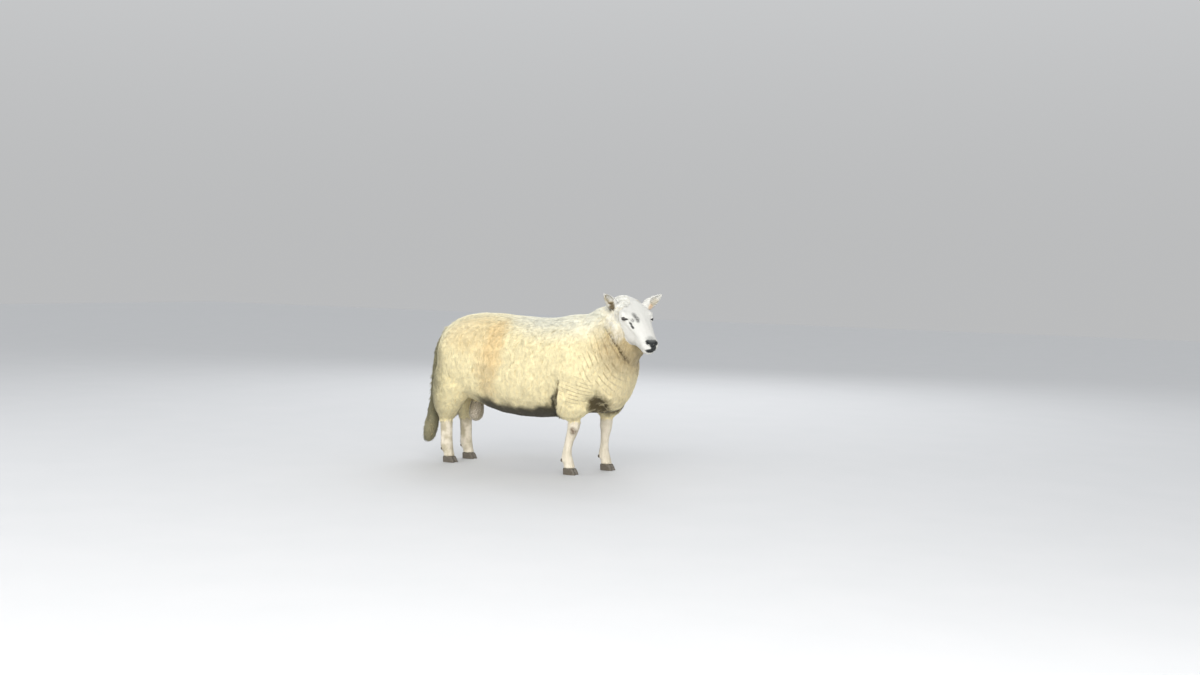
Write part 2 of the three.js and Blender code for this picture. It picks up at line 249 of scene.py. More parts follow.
def makeLights():
    for name in ("key", "front", "fill", "rear"):
        values = lightSettings[name]
        bpy.ops.object.light_add(type="AREA", location=values["at"])
        lamp = bpy.context.object
        lamp.name = f"light_{name}"
        lamp.rotation_euler = (Vector((0, 0, 0.5)) - Vector(values["at"])).to_track_quat("-Z", "Y").to_euler()
        lamp.data.size = values["size"]
        lamp.data.energy = values["power"]
        lamp.data.color = values["tone"]
    world = bpy.data.worlds.new("studio")
    world.use_nodes = True
    tree = world.node_tree
    sphere = tree.nodes.new("ShaderNodeTexCoord").outputs["Generated"]
    height = addNode(tree, "ShaderNodeSeparateXYZ", Vector=sphere)
    sky = lightSettings["sky"]
    glow = blendNode(tree, rampNode(tree, height.outputs["Z"], 0.0, 0.6), (*sky["low"], 1), (*sky["high"], 1))
    tree.links.new(glow, tree.nodes["Background"].inputs["Color"])
    scene.world = world
    scene.view_settings.view_transform = "Standard"


# ---- skin: one surface over the flesh, under the coat by its depth

skinSettings = {
    "voxel": 0.004,
    "keep": 0.42,  # share of faces kept, the loss falling under the wool
    "leftUnderWool": 0.4,  # share of triangles kept in the end, once the coat has grown
    "leftBare": 0.74,  # the same on the face, the ears and the lower legs
    "steps": 6,  # of the move inwards
    "fold": 0.009,  # how deep the skin lies in a crease of the fleece
    "depth": {"trunk": 8, "neck": 8, "arm": 8, "thigh": 8, "tail": 7.5, "head": 2.5, "ear": 1.2,
              "eye": 0.5, "shank": 2.5, "scrotum": 1.5},
}


def kindOf(nodeName):
    for kind in skinSettings["depth"]:
        if kind in nodeName:
            return kind
    return None


def nearestKinds(points, nodeNames):
    # the kind of node that lies nearest to each point
    corners, faces, owners = [], [], []
    start = 0
    for nodeName in nodeNames:
        mesh = nodes[nodeName].data
        corners.append(pointsOf(mesh))
        for face in mesh.polygons:
            faces.append([start + v for v in face.vertices])
            owners.append(kindOf(nodeName))
        start += len(mesh.vertices)
    tree = BVHTree.FromPolygons(np.concatenate(corners).tolist(), faces)
    found = [owners[tree.find_nearest(p)[2]] for p in points.tolist()]
    return np.array(found), tree


def coatDepth(points, kinds):
    # millimetres from the skin out to the tips
    base = skinSettings["depth"]
    depth = np.array([base[kind] for kind in kinds], float)
    head = toHead(points)
    neck = kinds == "neck"
    near = smoothStep(-40, 60, head[:, 0]) * smoothStep(170, 120, np.linalg.norm(head[:, 1:], axis=1))
    depth[neck] = (base["neck"] + (4 - base["neck"]) * near)[neck]
    crown = np.exp(-(((head - (-105, 40, 40)) / 75) ** 2).sum(1))
    depth[neck] *= (1 - 0.8 * crown)[neck]
    for kind, line, top in (("arm", 0.258, 0.36), ("thigh", 0.214, 0.34)):
        part = kinds == kind
        rise = smoothStep(line - 0.01, top, points[:, 2])
        depth[part] = (7 + (base[kind] - 7) * rise)[part]
    return depth


def makeSkin():
    fleshNodes = [name for name in nodes if "claw" not in name]
    skin = copyNodes("skin", fleshNodes)
    finishModifier(skin, "REMESH", mode="VOXEL", voxel_size=skinSettings["voxel"])
    points = pointsOf(skin.data)
    kinds, _ = nearestKinds(points, fleshNodes)
    woolly = np.isin(kinds, ["trunk", "neck", "arm", "thigh", "tail"]).astype(float)
    edges = edgesOf(skin.data)
    woolly = relax(woolly, edges, 3)
    group = skin.vertex_groups.new(name="woolly")
    for index in np.nonzero(woolly > 0.9)[0].tolist():
        group.add([index], 1.0, "REPLACE")
    keep = skinSettings["keep"]
    finishModifier(skin, "DECIMATE", ratio=keep, vertex_group="woolly", vertex_group_factor=10)
    skin.vertex_groups.clear()
    print("skin thinned", len(skin.data.polygons))
    mesh = skin.data
    points, edges = pointsOf(mesh), edgesOf(mesh)
    kinds, tree = nearestKinds(points, fleshNodes)
    woolly = np.isin(kinds, ["trunk", "neck", "arm", "thigh", "tail"]).astype(float)
    soft = relax(woolly, edges, 4)
    points = relaxKeepingSize(points, edges, 6)
    points = relaxKeepingSize(points, edges, 45, 0.12 + 0.88 * soft)
    points = relax(points, edges, 14, 0.5, soft**6)
    putPoints(mesh, points)
    depth = relax(coatDepth(points, kinds), edges, 14) / 1000
    for _ in range(skinSettings["steps"]):
        heading = unit(relax(normalsOf(mesh), edges, 3))
        points = points - heading * (depth / skinSettings["steps"])[:, None]
        points = relaxKeepingSize(points, edges, 2, soft)
        putPoints(mesh, points)
    points = relaxKeepingSize(points, edges, 10, soft)
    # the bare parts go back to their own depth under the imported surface
    bare = np.nonzero(soft < 0.9)[0]
    short = np.zeros(len(points))
    for index in bare.tolist():
        place, facing, _, _ = tree.find_nearest(points[index])
        short[index] = -depth[index] - (Vector(points[index]) - place).dot(facing)
    short = relax(np.clip(short, -0.004, 0.008), edges, 10) * smoothStep(1.0, 0.6, soft)
    points = points + normalsOf(mesh) * short[:, None]
    points = points - normalsOf(mesh) * (foldAt(points) * soft * skinSettings["fold"])[:, None]
    putPoints(mesh, points)
    storeValues(mesh, "woolly", soft)
    storeValues(mesh, "depth", depth)
    for kind in ("scrotum", "ear", "shank", "tail", "head"):
        storeValues(mesh, kind, relax((kinds == kind).astype(float), edges, 2))
    print("skin laid", len(mesh.polygons))
    return skin, fleshNodes


def thinPart(skin, chosen, left):
    # merges faces only where chosen, down to this share of that part's triangles
    mesh = skin.data
    mesh.calc_loop_triangles()
    share = chosen[readTriangles(mesh)].all(1).mean()
    group = skin.vertex_groups.new(name="part")
    group.add(np.nonzero(chosen)[0].tolist(), 1.0, "REPLACE")
    ratio = 1 - share * (1 - left)
    finishModifier(skin, "DECIMATE", ratio=ratio, vertex_group="part", vertex_group_factor=10)
    skin.vertex_groups.clear()


def thinSkin(skin):
    # once the coat has grown, the skin needs fewer faces, and fewest under the wool
    thinPart(skin, readValues(skin.data, "woolly") > 0.9, skinSettings["leftUnderWool"])
    thinPart(skin, readValues(skin.data, "woolly") <= 0.9, skinSettings["leftBare"])
    skin.data.calc_loop_triangles()
    print("skin finished", len(skin.data.loop_triangles), "triangles")


# ---- the face worked into the skin, in head millimetres, the same on both sides

faceSettings = {
    "lumps": [  # where, how far it reaches, and the push
        ((94, 74, 46), (26, 16, 12), (0, 3, 4)),  # brow
        ((150, 56, 12), (34, 12, 9), (0, 3.5, 0)),  # crest below the eye
        ((190, 50, -8), (34, 14, 20), (0, -4, 0)),  # hollow behind the muzzle
        ((52, 84, -44), (38, 22, 34), (0, 5, -2)),  # cheek
        ((190, 0, 46), (80, 22, 16), (0, 0, 3.5)),  # bridge of the nose
        ((196, 26, 40), (60, 9, 14), (0, 2, -1.5)),
        ((271, 25, 15), (11, 9, 8), (2, 4, 2)),  # wing of the nostril
        ((286, 16, -10), (12, 15, 8), (3, 2, 1)),  # upper lip
        ((284, 14, -37), (14, 16, 8), (2, 1, -2)),  # lower lip
        ((262, 0, -52), (18, 18, 8), (0, 0, -3)),  # chin
        ((244, 44, -24), (14, 10, 10), (0, 3, 0)),
    ],
    "grooves": [  # a line on the skin, its reach and its depth
        (((286, 7, 1), (281, 14, 9), (274, 22, 15), (267, 27, 15)), 3.2, 9.5),  # nostril
        (((292, 0, 6), (299, 0, -4), (303, 0, -14)), 2.2, 2.6),  # philtrum
        (((303, 0, -23), (298, 18, -23), (284, 32, -26), (262, 42, -32), (246, 45, -37)), 2.4, 4.2),  # mouth
        (((137, 57, 28), (156, 55, 25), (173, 53, 22)), 3.2, 1.6),  # tear pit
        (((128, 60, 36), (142, 56, 42)), 4, 1.6),
    ],
    "lid": {"width": 17.4, "up": 8.2, "low": 6.0, "tilt": 24, "facing": (0.52, 0.81, 0.26), "margin": 2.0},
}


def eyeFrame(side):
    # centre, outward axis, axis along the slit towards the nose, axis across it, in head millimetres
    x, y, z = headPose["eyeAt"]
    tilt = math.radians(faceSettings["lid"]["tilt"])
    along = Vector((math.cos(tilt), 0, math.sin(tilt)))
    facing = Vector(mirrored(faceSettings["lid"]["facing"], side)).normalized()
    along = (along - facing * along.dot(facing)).normalized()
    across = facing.cross(along)
    if across.z < 0:
        across = -across
    return np.array((x, y * side, z), float), np.array(facing), np.array(along), np.array(across)


def eyePlace(points, side):
    # how far each point lies from the eye's middle, and where it falls along and across the slit
    centre, facing, along, across = eyeFrame(side)
    away = points - centre
    distance = np.linalg.norm(away, axis=1)
    front = away @ facing
    radius = headPose["eyeRadius"]
    slitX = np.arctan2(away @ along, front) * radius
    slitY = np.arctan2(away @ across, front) * radius
    return away, distance, front, slitX, slitY


def lineDistance(points, line):
    best = np.full(len(points), 1e9)
    for start, end in zip(line[:-1], line[1:]):
        start, end = np.asarray(start, float), np.asarray(end, float)
        run = end - start
        share = np.clip((points - start) @ run / (run @ run), 0, 1)
        best = np.minimum(best, np.linalg.norm(points - start - share[:, None] * run, axis=1))
    return best


def mirrored(values, side):
    return (values[0], values[1] * side, values[2])


def subdivideWhere(item, chosen):
    # cuts each chosen face in four
    mesh = item.data
    faceCorners = np.zeros(len(mesh.polygons), bool)
    for index, face in enumerate(mesh.polygons):
        faceCorners[index] = chosen[list(face.vertices)].all()
    pick(item)
    bpy.ops.object.mode_set(mode="EDIT")
    bpy.ops.mesh.select_mode(type="FACE")
    bpy.ops.mesh.select_all(action="DESELECT")
    bpy.ops.object.mode_set(mode="OBJECT")
    mesh.polygons.foreach_set("select", faceCorners)
    bpy.ops.object.mode_set(mode="EDIT")
    bpy.ops.mesh.subdivide(number_cuts=1)
    bpy.ops.object.mode_set(mode="OBJECT")


def sculptHead(skin):
    mesh = skin.data
    head = toHead(pointsOf(mesh))
    bare = readValues(mesh, "woolly") < 0.75
    onHead = bare & (head[:, 0] > -30) & (np.linalg.norm(head[:, 1:], axis=1) < 200)
    subdivideWhere(skin, onHead)
    head = toHead(pointsOf(mesh))
    fine = head[:, 0] > 236
    for side in (1, -1):
        centre = eyeFrame(side)[0]
        fine |= np.linalg.norm(head - centre, axis=1) < 25
        fine |= lineDistance(head, [mirrored(p, side) for p in faceSettings["grooves"][3][0]]) < 7
    subdivideWhere(skin, fine)
    points = pointsOf(mesh)
    edges = edgesOf(mesh)
    near = (readValues(mesh, "woolly") < 0.9) & (toHead(points)[:, 0] > -30)
    points = relaxKeepingSize(points, edges, 5, near.astype(float))
    putPoints(mesh, points)
    head = toHead(points)
    heading = normalsOf(mesh) @ headTurn
    moved = head.copy()
    for at, reach, push in faceSettings["lumps"]:
        for side in (1, -1):
            if at[1] == 0 and side < 0:
                continue
            gap = (head - mirrored(at, side)) / np.array(reach)
            moved += np.exp(-(gap**2).sum(1))[:, None] * np.array(mirrored(push, side))
    tree = BVHTree.FromPolygons(moved.tolist(), [list(face.vertices) for face in mesh.polygons])
    for line, reach, depth in faceSettings["grooves"]:
        for side in (1, -1):
            if all(p[1] == 0 for p in line) and side < 0:
                continue
            dense = []
            for start, end in zip(line[:-1], line[1:]):
                for share in (0, 0.25, 0.5, 0.75):
                    dense.append(Vector(mirrored(start, side)).lerp(Vector(mirrored(end, side)), share))
            dense.append(Vector(mirrored(line[-1], side)))
            onSkin = [tree.find_nearest(p)[0] for p in dense]
            gap = lineDistance(moved, onSkin)
            moved -= heading * (depth * np.exp(-((gap / reach) ** 2)))[:, None]
    lid = faceSettings["lid"]
    radius = headPose["eyeRadius"]
    rim = np.zeros(len(moved))
    for side in (1, -1):
        away, distance, front, slitX, slitY = eyePlace(moved, side)
        inside = np.clip(1 - (slitX / lid["width"]) ** 2, 0, 1)
        bound = np.where(slitY > 0, lid["up"], lid["low"]) * inside**0.8
        past = np.abs(slitX) - lid["width"]
        outside = np.where(past > 0, np.hypot(np.maximum(past, 0), slitY), np.abs(slitY) - bound)
        nearEye = (front > 0) & (distance < 34)
        lidHeight = radius + lid["margin"] * (0.55 + 0.45 * smoothStep(0, 1.6, outside))
        crease = 1.5 * np.exp(-(((outside - 6.2) / 1.3) ** 2)) * smoothStep(13, 6, np.abs(slitX))
        lidHeight = lidHeight - crease * np.where(slitY > 0, 1, 0.6)
        blend = smoothStep(5, 17, outside)
        wanted = np.where(outside < 0, radius - 3.5, lidHeight * (1 - blend) + distance * blend)
        scale = np.where(nearEye, wanted / np.maximum(distance, 1), 1)
        moved = eyeFrame(side)[0] + away * scale[:, None]
        rim = np.maximum(rim, np.where(nearEye, np.exp(-((np.maximum(outside, 0) / 1.5) ** 2)), 0))
    putPoints(mesh, fromHead(moved))
    storeValues(mesh, "rim", rim)
    print("face worked", len(mesh.polygons))


# ---- where the wool ends on the head, seen from the nose

capSettings = {
    # angle from the top, left positive, and how far forward the wool reaches there
    "edge": ((-150, 150), (-125, 138), (-105, 100), (-88, 80), (-66, 66), (-50, 44), (-34, 30), (-14, 18),
             (2, -20), (14, -80), (64, -80), (76, 10), (92, 74), (105, 100), (125, 138), (150, 150)),
    "depth": 4,
}


def capAt(head):
    # 1 on the wool of the head, 0 on the bare face
    angle = np.degrees(np.arctan2(head[:, 1], head[:, 2]))
    turns, reach = np.array(capSettings["edge"], float).T
    edge = np.interp(angle, turns, reach) + 4 * rolling(head, 22, 71)
    return smoothStep(3, -3, head[:, 0] - edge)


def settleCap(skin):
    mesh = skin.data
    head = toHead(pointsOf(mesh))
    near = (head[:, 0] > -110) & (np.linalg.norm(head[:, 1:] + (0, 20), axis=1) < 125)
    near &= readValues(mesh, "ear") < 0.3
    woolly, depth = readValues(mesh, "woolly"), readValues(mesh, "depth")
    cap = capAt(head)
    bare = readValues(mesh, "head") > 0.4
    deepest = np.maximum(depth, cap * capSettings["depth"] / 1000)
    storeValues(mesh, "depth", np.where(near & bare, deepest, depth))
    top = np.abs(np.degrees(np.arctan2(head[:, 1], head[:, 2])) - 40) < 36
    trimmed = np.where(near & top, np.minimum(woolly, cap), woolly)
    storeValues(mesh, "woolly", np.where(near & bare, cap, trimmed))


# ---- the muscles and hollows that the fleece shows, in metres

bodySettings = {
    "lumps": [  # where on the left side, reach and push, all from the middle of that fore or hind foot
        ("fore", (0.03, 0.06, 0.345), (0.075, 0.10, 0.055), (0, 0.034, 0)),  # upper arm
        ("fore", (0.01, 0.05, 0.285), (0.060, 0.08, 0.030), (0, 0.014, 0)),
        ("fore", (0.155, 0.02, 0.330), (0.036, 0.08, 0.060), (0, -0.045, 0)),  # before the arm
        ("fore", (-0.055, 0.07, 0.355), (0.026, 0.07, 0.070), (0, -0.022, 0)),  # behind the elbow
        ("hind", (0.265, 0.10, 0.400), (0.030, 0.10, 0.075), (0, -0.012, 0)),  # flank
    ],
}


def legMiddle(foot):
    middle = (boxCentre(f"{foot}_claw_inner") + boxCentre(f"{foot}_claw_outer")) / 2
    middle[0] -= 0.0195  # the leg stands behind the middle of its claws
    middle[2] = 0
    return middle


def sculptBody(skin):
    mesh = skin.data
    points = pointsOf(mesh)
    moved = points.copy()
    woolly = readValues(mesh, "woolly")
    for which, at, reach, push in bodySettings["lumps"]:
        for side, name in ((1, "left"), (-1, "right")):
            gap = (points - legMiddle(f"{which}_{name}") - mirrored(at, side)) / np.array(reach)
            moved += (woolly * np.exp(-(gap**2).sum(1)))[:, None] * np.array(mirrored(push, side))
    putPoints(mesh, relaxKeepingSize(moved, edgesOf(mesh), 4, woolly))


# ---- the legs worked into the skin

legSettings = {
    "lumps": [  # from the middle of the foot, forwards, outwards and up, in millimetres
        ("fore", (16, 0, 205), (16, 20, 22), (5, 0, 0)),  # knee
        ("fore", (-20, 0, 212), (12, 16, 16), (-5, 0, 0)),
        ("fore", (4, 22, 206), (20, 12, 20), (0, 2.5, 0)),
        ("fore", (4, -22, 206), (20, 12, 20), (0, -2.5, 0)),
        ("hind", (-36, 0, 232), (14, 16, 26), (-8, 0, 3)),  # point of the hock
        ("hind", (-14, 26, 215), (20, 12, 26), (0, 3, 0)),
        ("hind", (-14, -26, 215), (20, 12, 26), (0, -3, 0)),
        ("both", (-8, 23, 130), (7, 12, 46), (0, -3.5, 0)),  # between bone and sinew
        ("both", (-8, -23, 130), (7, 12, 46), (0, 3.5, 0)),
        ("both", (-26, 12, 68), (15, 12, 16), (-7, 2, 0)),  # seats of the dewclaws
        ("both", (-26, -12, 68), (15, 12, 16), (-7, -2, 0)),
        ("both", (-24, 0, 48), (10, 22, 12), (5, 0, 0)),  # hollow of the pastern
        ("both", (24, 0, 44), (12, 5, 16), (-4, 0, 0)),  # cleft between the claws
    ],
}


def sculptLegs(skin):
    mesh = skin.data
    points = pointsOf(mesh)
    for foot in ("fore_right", "fore_left", "hind_right", "hind_left"):
        middle = legMiddle(foot)
        local = (points - middle) * 1000
        moved = local.copy()
        for which, at, reach, push in legSettings["lumps"]:
            if which == "both" or which in foot:
                gap = (local - at) / np.array(reach)
                moved += np.exp(-(gap**2).sum(1))[:, None] * np.array(push)
        low = smoothStep(50, 37, moved[:, 2]) * (np.hypot(moved[:, 0], moved[:, 1]) < 70)
        moved[:, :2] *= 1 + 0.10 * low[:, None]
        moved[:, 2] -= 7 * low
        points = moved / 1000 + middle
    points[:, 2] = np.maximum(points[:, 2], 0.026)
    putPoints(mesh, points)
    print("legs worked")


# ---- eyes

def makeEye(name, side):
    centre, facing, along, across = eyeFrame(side)
    deselectAll()
    bpy.ops.mesh.primitive_uv_sphere_add(segments=64, ring_count=48, radius=headPose["eyeRadius"] / 1000)
    ball = bpy.context.object
    ball.name = name
    ball.data.name = name
    local = pointsOf(ball.data) * 1000
    local *= (1 + 0.045 * smoothStep(11, 15, local[:, 2]))[:, None]  # the cornea
    placed = centre + local[:, :1] * along + local[:, 1:2] * across + local[:, 2:] * facing
    putPoints(ball.data, fromHead(placed))
    storeValues(ball.data, "slitAlong", local[:, 0])
    storeValues(ball.data, "slitAcross", local[:, 1])
    pick(ball)
    bpy.ops.object.mode_set(mode="EDIT")
    bpy.ops.mesh.select_all(action="SELECT")
    bpy.ops.mesh.normals_make_consistent(inside=False)
    bpy.ops.object.mode_set(mode="OBJECT")
    bpy.ops.object.shade_smooth()
    return ball


# ---- claws and dewclaws

hoofSettings = {"levels": 3, "soften": 5, "rings": 0.12, "ringSpacing": 5.5, "dewclaw": 0.85}


def makeHoof(nodeName):
    hoof = copyNodes(f"{nodeName}_horn", [nodeName])
    finishModifier(hoof, "SUBSURF", subdivision_type="SIMPLE", levels=hoofSettings["levels"],
                   render_levels=hoofSettings["levels"])
    mesh = hoof.data
    points, edges = pointsOf(mesh), edgesOf(mesh)
    floorLine = points[:, 2] < 0.0004
    for _ in range(hoofSettings["soften"]):
        softer = relaxKeepingSize(points, edges, 2)
        softer[floorLine, 2] = 0
        points = softer
    if "dewclaw" in nodeName:
        middle = points.mean(0)
        points = middle + (points - middle) * hoofSettings["dewclaw"] + (0.0025, 0, 0)
    else:
        putPoints(mesh, points)
        wave = np.sin(points[:, 2] * 1000 / hoofSettings["ringSpacing"] * 2 * math.pi + points[:, 0] * 60)
        lift = smoothStep(0.003, 0.01, points[:, 2]) * hoofSettings["rings"] / 1000
        points = points + normalsOf(mesh) * (wave * lift)[:, None]
        points[:, 2] = np.maximum(points[:, 2], 0)
    putPoints(mesh, points)
    pick(hoof)
    bpy.ops.object.shade_smooth()
    return hoof


# ---- coat: solid locks grown from the skin

def readTriangles(mesh):
    mesh.calc_loop_triangles()
    found = np.empty(len(mesh.loop_triangles) * 3, np.int32)
    mesh.loop_triangles.foreach_get("vertices", found)
    return found.reshape(-1, 3)


def sparse(at, cell, dice):
    # one point from each cell of a turned grid
    turn = np.linalg.qr(dice.normal(size=(3, 3)))[0]
    place = np.floor(at @ turn / cell + dice.random(3)).astype(np.int64)
    key = (place[:, 0] * 100003 + place[:, 1]) * 100003 + place[:, 2]
    return np.sort(np.unique(key, return_index=True)[1])


def scatter(mesh, weight, spacing, seed):
    # roots spread evenly over the skin where weight is above none, about spacing apart
    dice = np.random.default_rng(seed)
    points = pointsOf(mesh)
    heading = unit(relax(normalsOf(mesh), edgesOf(mesh), 24, 0.5, readValues(mesh, "woolly")))
    triangles = readTriangles(mesh)
    a, b, c = (points[triangles[:, i]] for i in range(3))
    area = np.linalg.norm(np.cross(b - a, c - a), axis=1) / 2
    share = weight[triangles].mean(1)
    chance = area * np.where(share > 0.02, share, 0)
    count = int(chance.sum() / spacing**2 * 5)
    which = np.searchsorted(np.cumsum(chance) / chance.sum(), dice.random(count)).clip(0, len(triangles) - 1)
    u, v = dice.random(count), dice.random(count)
    flip = u + v > 1
    u, v = np.where(flip, 1 - u, u), np.where(flip, 1 - v, v)
    mix = np.stack([1 - u - v, u, v], 1)[:, :, None]
    at = (points[triangles[which]] * mix).sum(1)
    normal = unit((heading[triangles[which]] * mix).sum(1))
    first = sparse(at, spacing * 1.05, dice)
    first = first[sparse(at[first], spacing * 1.05, dice)]
    corners = triangles[which[first]]
    return {"at": at[first], "normal": normal[first], "corners": corners, "mix": mix[first, :, 0],
            "value": lambda name: (readValues(mesh, name)[corners] * mix[first, :, 0]).sum(1)}


def take(roots, chosen):
    picked = {}
    for key, values in roots.items():
        picked[key] = values[chosen]
    return picked


def nearestClump(at, spacing, seed):
    # for each root, the root at the middle of its clump
    first = sparse(at, spacing, np.random.default_rng(seed))
    tree = KDTree(len(first))
    for index in first.tolist():
        tree.insert(at[index], index)
    tree.balance()
    return np.array([tree.find(p)[1] for p in at.tolist()])


def buildLocks(name, roots, shape, seed):
    # each lock is a thin three-sided blade that leaves the skin, leans with the lie and comes to a tip;
    # a pointed one starts from a point as well and is widest along its length
    dice = np.random.default_rng(seed)
    at, normal, lie = roots["at"], roots["normal"], roots["lie"]
    count = len(at)
    stations = np.array(shape["stations"])
    fullness = np.array(shape["fullness"])
    side = unit(np.cross(normal, lie))
    rise, lean, width = roots["rise"], roots["lean"], roots["width"]
    phase = dice.uniform(0, 2 * math.pi, count)
    wave = shape["curl"] * width
    centres = []
    for s in (*stations, 1.0):
        up = 1 - (1 - s) ** shape["lift"] - shape["over"] * s**2
        forward = s ** shape["droop"]
        swing = wave * (np.sin(s * shape["turns"] * 2 * math.pi + phase) - np.sin(phase)) * 0.5
        centre = at + normal * (rise * up - shape["sunk"] * (1 - s))[:, None]
        centre = centre + lie * (lean * forward)[:, None] + side * swing[:, None]
        centre = centre + roots["clump"] * (shape["gather"] * s**1.3)
        centres.append(centre)
    rings = []
    root = at - normal * (shape["sunk"] + 0.001)
    for index, s in enumerate(stations):
        run = unit(centres[index + 1] - (centres[index - 1] if index else root))
        across = unit(np.cross(run, normal) + 1e-6)
        out = unit(np.cross(across, run))
        half = (width * fullness[index] / 2)[:, None]
        rings.append(np.stack([centres[index] + across * half, centres[index] + out * half * shape["thick"],
                               centres[index] - across * half], 1))
    rows = len(stations)
    perLock = rows * 3 + 1
    corners = np.concatenate([*rings, centres[-1][:, None, :]], 1)
    faces = []
    if not shape["pointed"]:
        faces += [[0, 1, 2]]
    for row in range(rows - 1):
        for corner in range(3):
            a, b = row * 3 + corner, row * 3 + (corner + 1) % 3
            faces += [[a, a + 3, b + 3], [a, b + 3, b]]
    last = (rows - 1) * 3
    faces += [[last + corner, perLock - 1, last + (corner + 1) % 3] for corner in range(3)]
    alongLock = [*np.repeat(stations, 3), 1.0]
    aroundLock = [*np.tile([0.0, 0.5, 1.0], rows), 0.5]
    strand = [*np.tile([-1.0, 0.0, 1.0], rows), 0.0]
    if shape["pointed"]:
        faces += [[(corner + 1) % 3, perLock, corner] for corner in range(3)]
        corners = np.concatenate([corners, root[:, None, :]], 1)
        perLock += 1
        alongLock, aroundLock, strand = [*alongLock, 0.0], [*aroundLock, 0.5], [*strand, 0.0]
    faces, alongLock, aroundLock = np.array(faces), np.array(alongLock), np.array(aroundLock)
    allFaces = (faces[None] + (np.arange(count) * perLock)[:, None, None]).reshape(-1, 3)
    mesh = bpy.data.meshes.new(name)
    mesh.vertices.add(count * perLock)
    mesh.vertices.foreach_set("co", corners.astype(np.float32).ravel())
    mesh.loops.add(len(allFaces) * 3)
    mesh.loops.foreach_set("vertex_index", allFaces.astype(np.int32).ravel())
    mesh.polygons.add(len(allFaces))
    mesh.polygons.foreach_set("loop_start", np.arange(0, len(allFaces) * 3, 3, dtype=np.int32))
    mesh.polygons.foreach_set("use_smooth", np.ones(len(allFaces), bool))
    patch = np.stack([aroundLock - 0.5, alongLock - 0.5], 1) * 0.003
    places = roots["place"][:, None, :] + patch[None]
    layer = mesh.uv_layers.new(name="OFBake")
    layer.data.foreach_set("uv", places.reshape(-1, 2)[allFaces.ravel()].astype(np.float32).ravel())
    mesh.update()
    mesh.validate()
    own = normalsOf(mesh)
    soft = unit(own * (1 - shape["calm"]) + np.repeat(normal, perLock, axis=0) * shape["calm"])
    mesh.normals_split_custom_set_from_vertices(soft.astype(np.float32))
    storeValues(mesh, "tip", np.tile(alongLock, count))
    storeValues(mesh, "tone", np.repeat(roots["tone"], perLock))
    storeValues(mesh, "strand", np.tile(strand, count))
    piece = bpy.data.objects.new(name, mesh)
    scene.collection.objects.link(piece)
    print(name, count, "locks", len(allFaces), "faces")
    return piece


def unwrapPlaces(skin):
    # a plain copy of the skin, unwrapped, that gives each root its place
    plain = skin.copy()
    plain.data = skin.data.copy()
    scene.collection.objects.link(plain)
    finishModifier(plain, "DECIMATE", ratio=0.12)
    pick(plain)
    bpy.ops.object.mode_set(mode="EDIT")
    bpy.ops.mesh.select_all(action="SELECT")
    bpy.ops.uv.smart_project(angle_limit=math.radians(66), island_margin=0.004)
    bpy.ops.object.mode_set(mode="OBJECT")
    mesh = plain.data
    mesh.calc_loop_triangles()
    corners = readTriangles(mesh)
    loops = np.empty(len(mesh.loop_triangles) * 3, np.int32)
    mesh.loop_triangles.foreach_get("loops", loops)
    uv = np.empty(len(mesh.loops) * 2, np.float32)
    mesh.uv_layers.active.data.foreach_get("uv", uv)
    uv = uv.reshape(-1, 2)[loops].reshape(-1, 3, 2)
    points = pointsOf(mesh)
    tree = BVHTree.FromPolygons(points.tolist(), corners.tolist())

    def placesOf(at):
        found = [tree.find_nearest(p) for p in at.tolist()]
        which = np.array([f[2] for f in found])
        hit = np.array([f[0] for f in found])
        a, b, c = (points[corners[which][:, i]] for i in range(3))
        ab, ac, ap = b - a, c - a, hit - a
        d00, d01, d11 = (ab * ab).sum(1), (ab * ac).sum(1), (ac * ac).sum(1)
        d20, d21 = (ap * ab).sum(1), (ap * ac).sum(1)
        scale = np.maximum(d00 * d11 - d01 * d01, 1e-18)
        v, w = (d11 * d20 - d01 * d21) / scale, (d00 * d21 - d01 * d20) / scale
        mix = np.stack([1 - v - w, v, w], 1)[:, :, None]
        return np.clip((uv[which] * mix).sum(1), 0.003, 0.997)

    return plain, placesOf


woolSettings = {
    "spacing": 0.00262,
    "width": 0.0034,
    "length": 0.033,
    "clump": 0.012,
    "shape": {"stations": (0.3,), "fullness": (1.0,), "lift": 4.0, "over": 0.12, "droop": 1.0, "curl": 0.8,
              "turns": 0.7, "gather": 0.4, "thick": 0.5, "sunk": 0.002, "calm": 0.82, "pointed": True},
    "knotSpacing": 0.0012,
    "knot": {"stations": (0.35, 0.7), "fullness": (0.9, 0.9), "lift": 3.0, "over": 0.3, "droop": 1.0,
             "curl": 1.5, "turns": 0.9, "gather": 0.5, "thick": 0.6, "sunk": 0.002, "calm": 0.95,
             "pointed": True},
    # lines where the fleece folds in on the right side, the reach of each, and whether it is on the left too
    "creases": [
        (((0.205, -0.226, 0.465), (0.198, -0.218, 0.427), (0.186, -0.197, 0.379), (0.168, -0.165, 0.329)),
         0.014, True),
        (((-0.206, -0.23, 0.49), (-0.222, -0.22, 0.41), (-0.236, -0.17, 0.33)), 0.020, True),
        (((0.396, -0.130, 0.70), (0.411, -0.128, 0.674), (0.426, -0.125, 0.654), (0.439, -0.115, 0.631),
          (0.455, -0.101, 0.601), (0.465, -0.081, 0.573), (0.472, -0.043, 0.544)), 0.010, False),
    ],
}


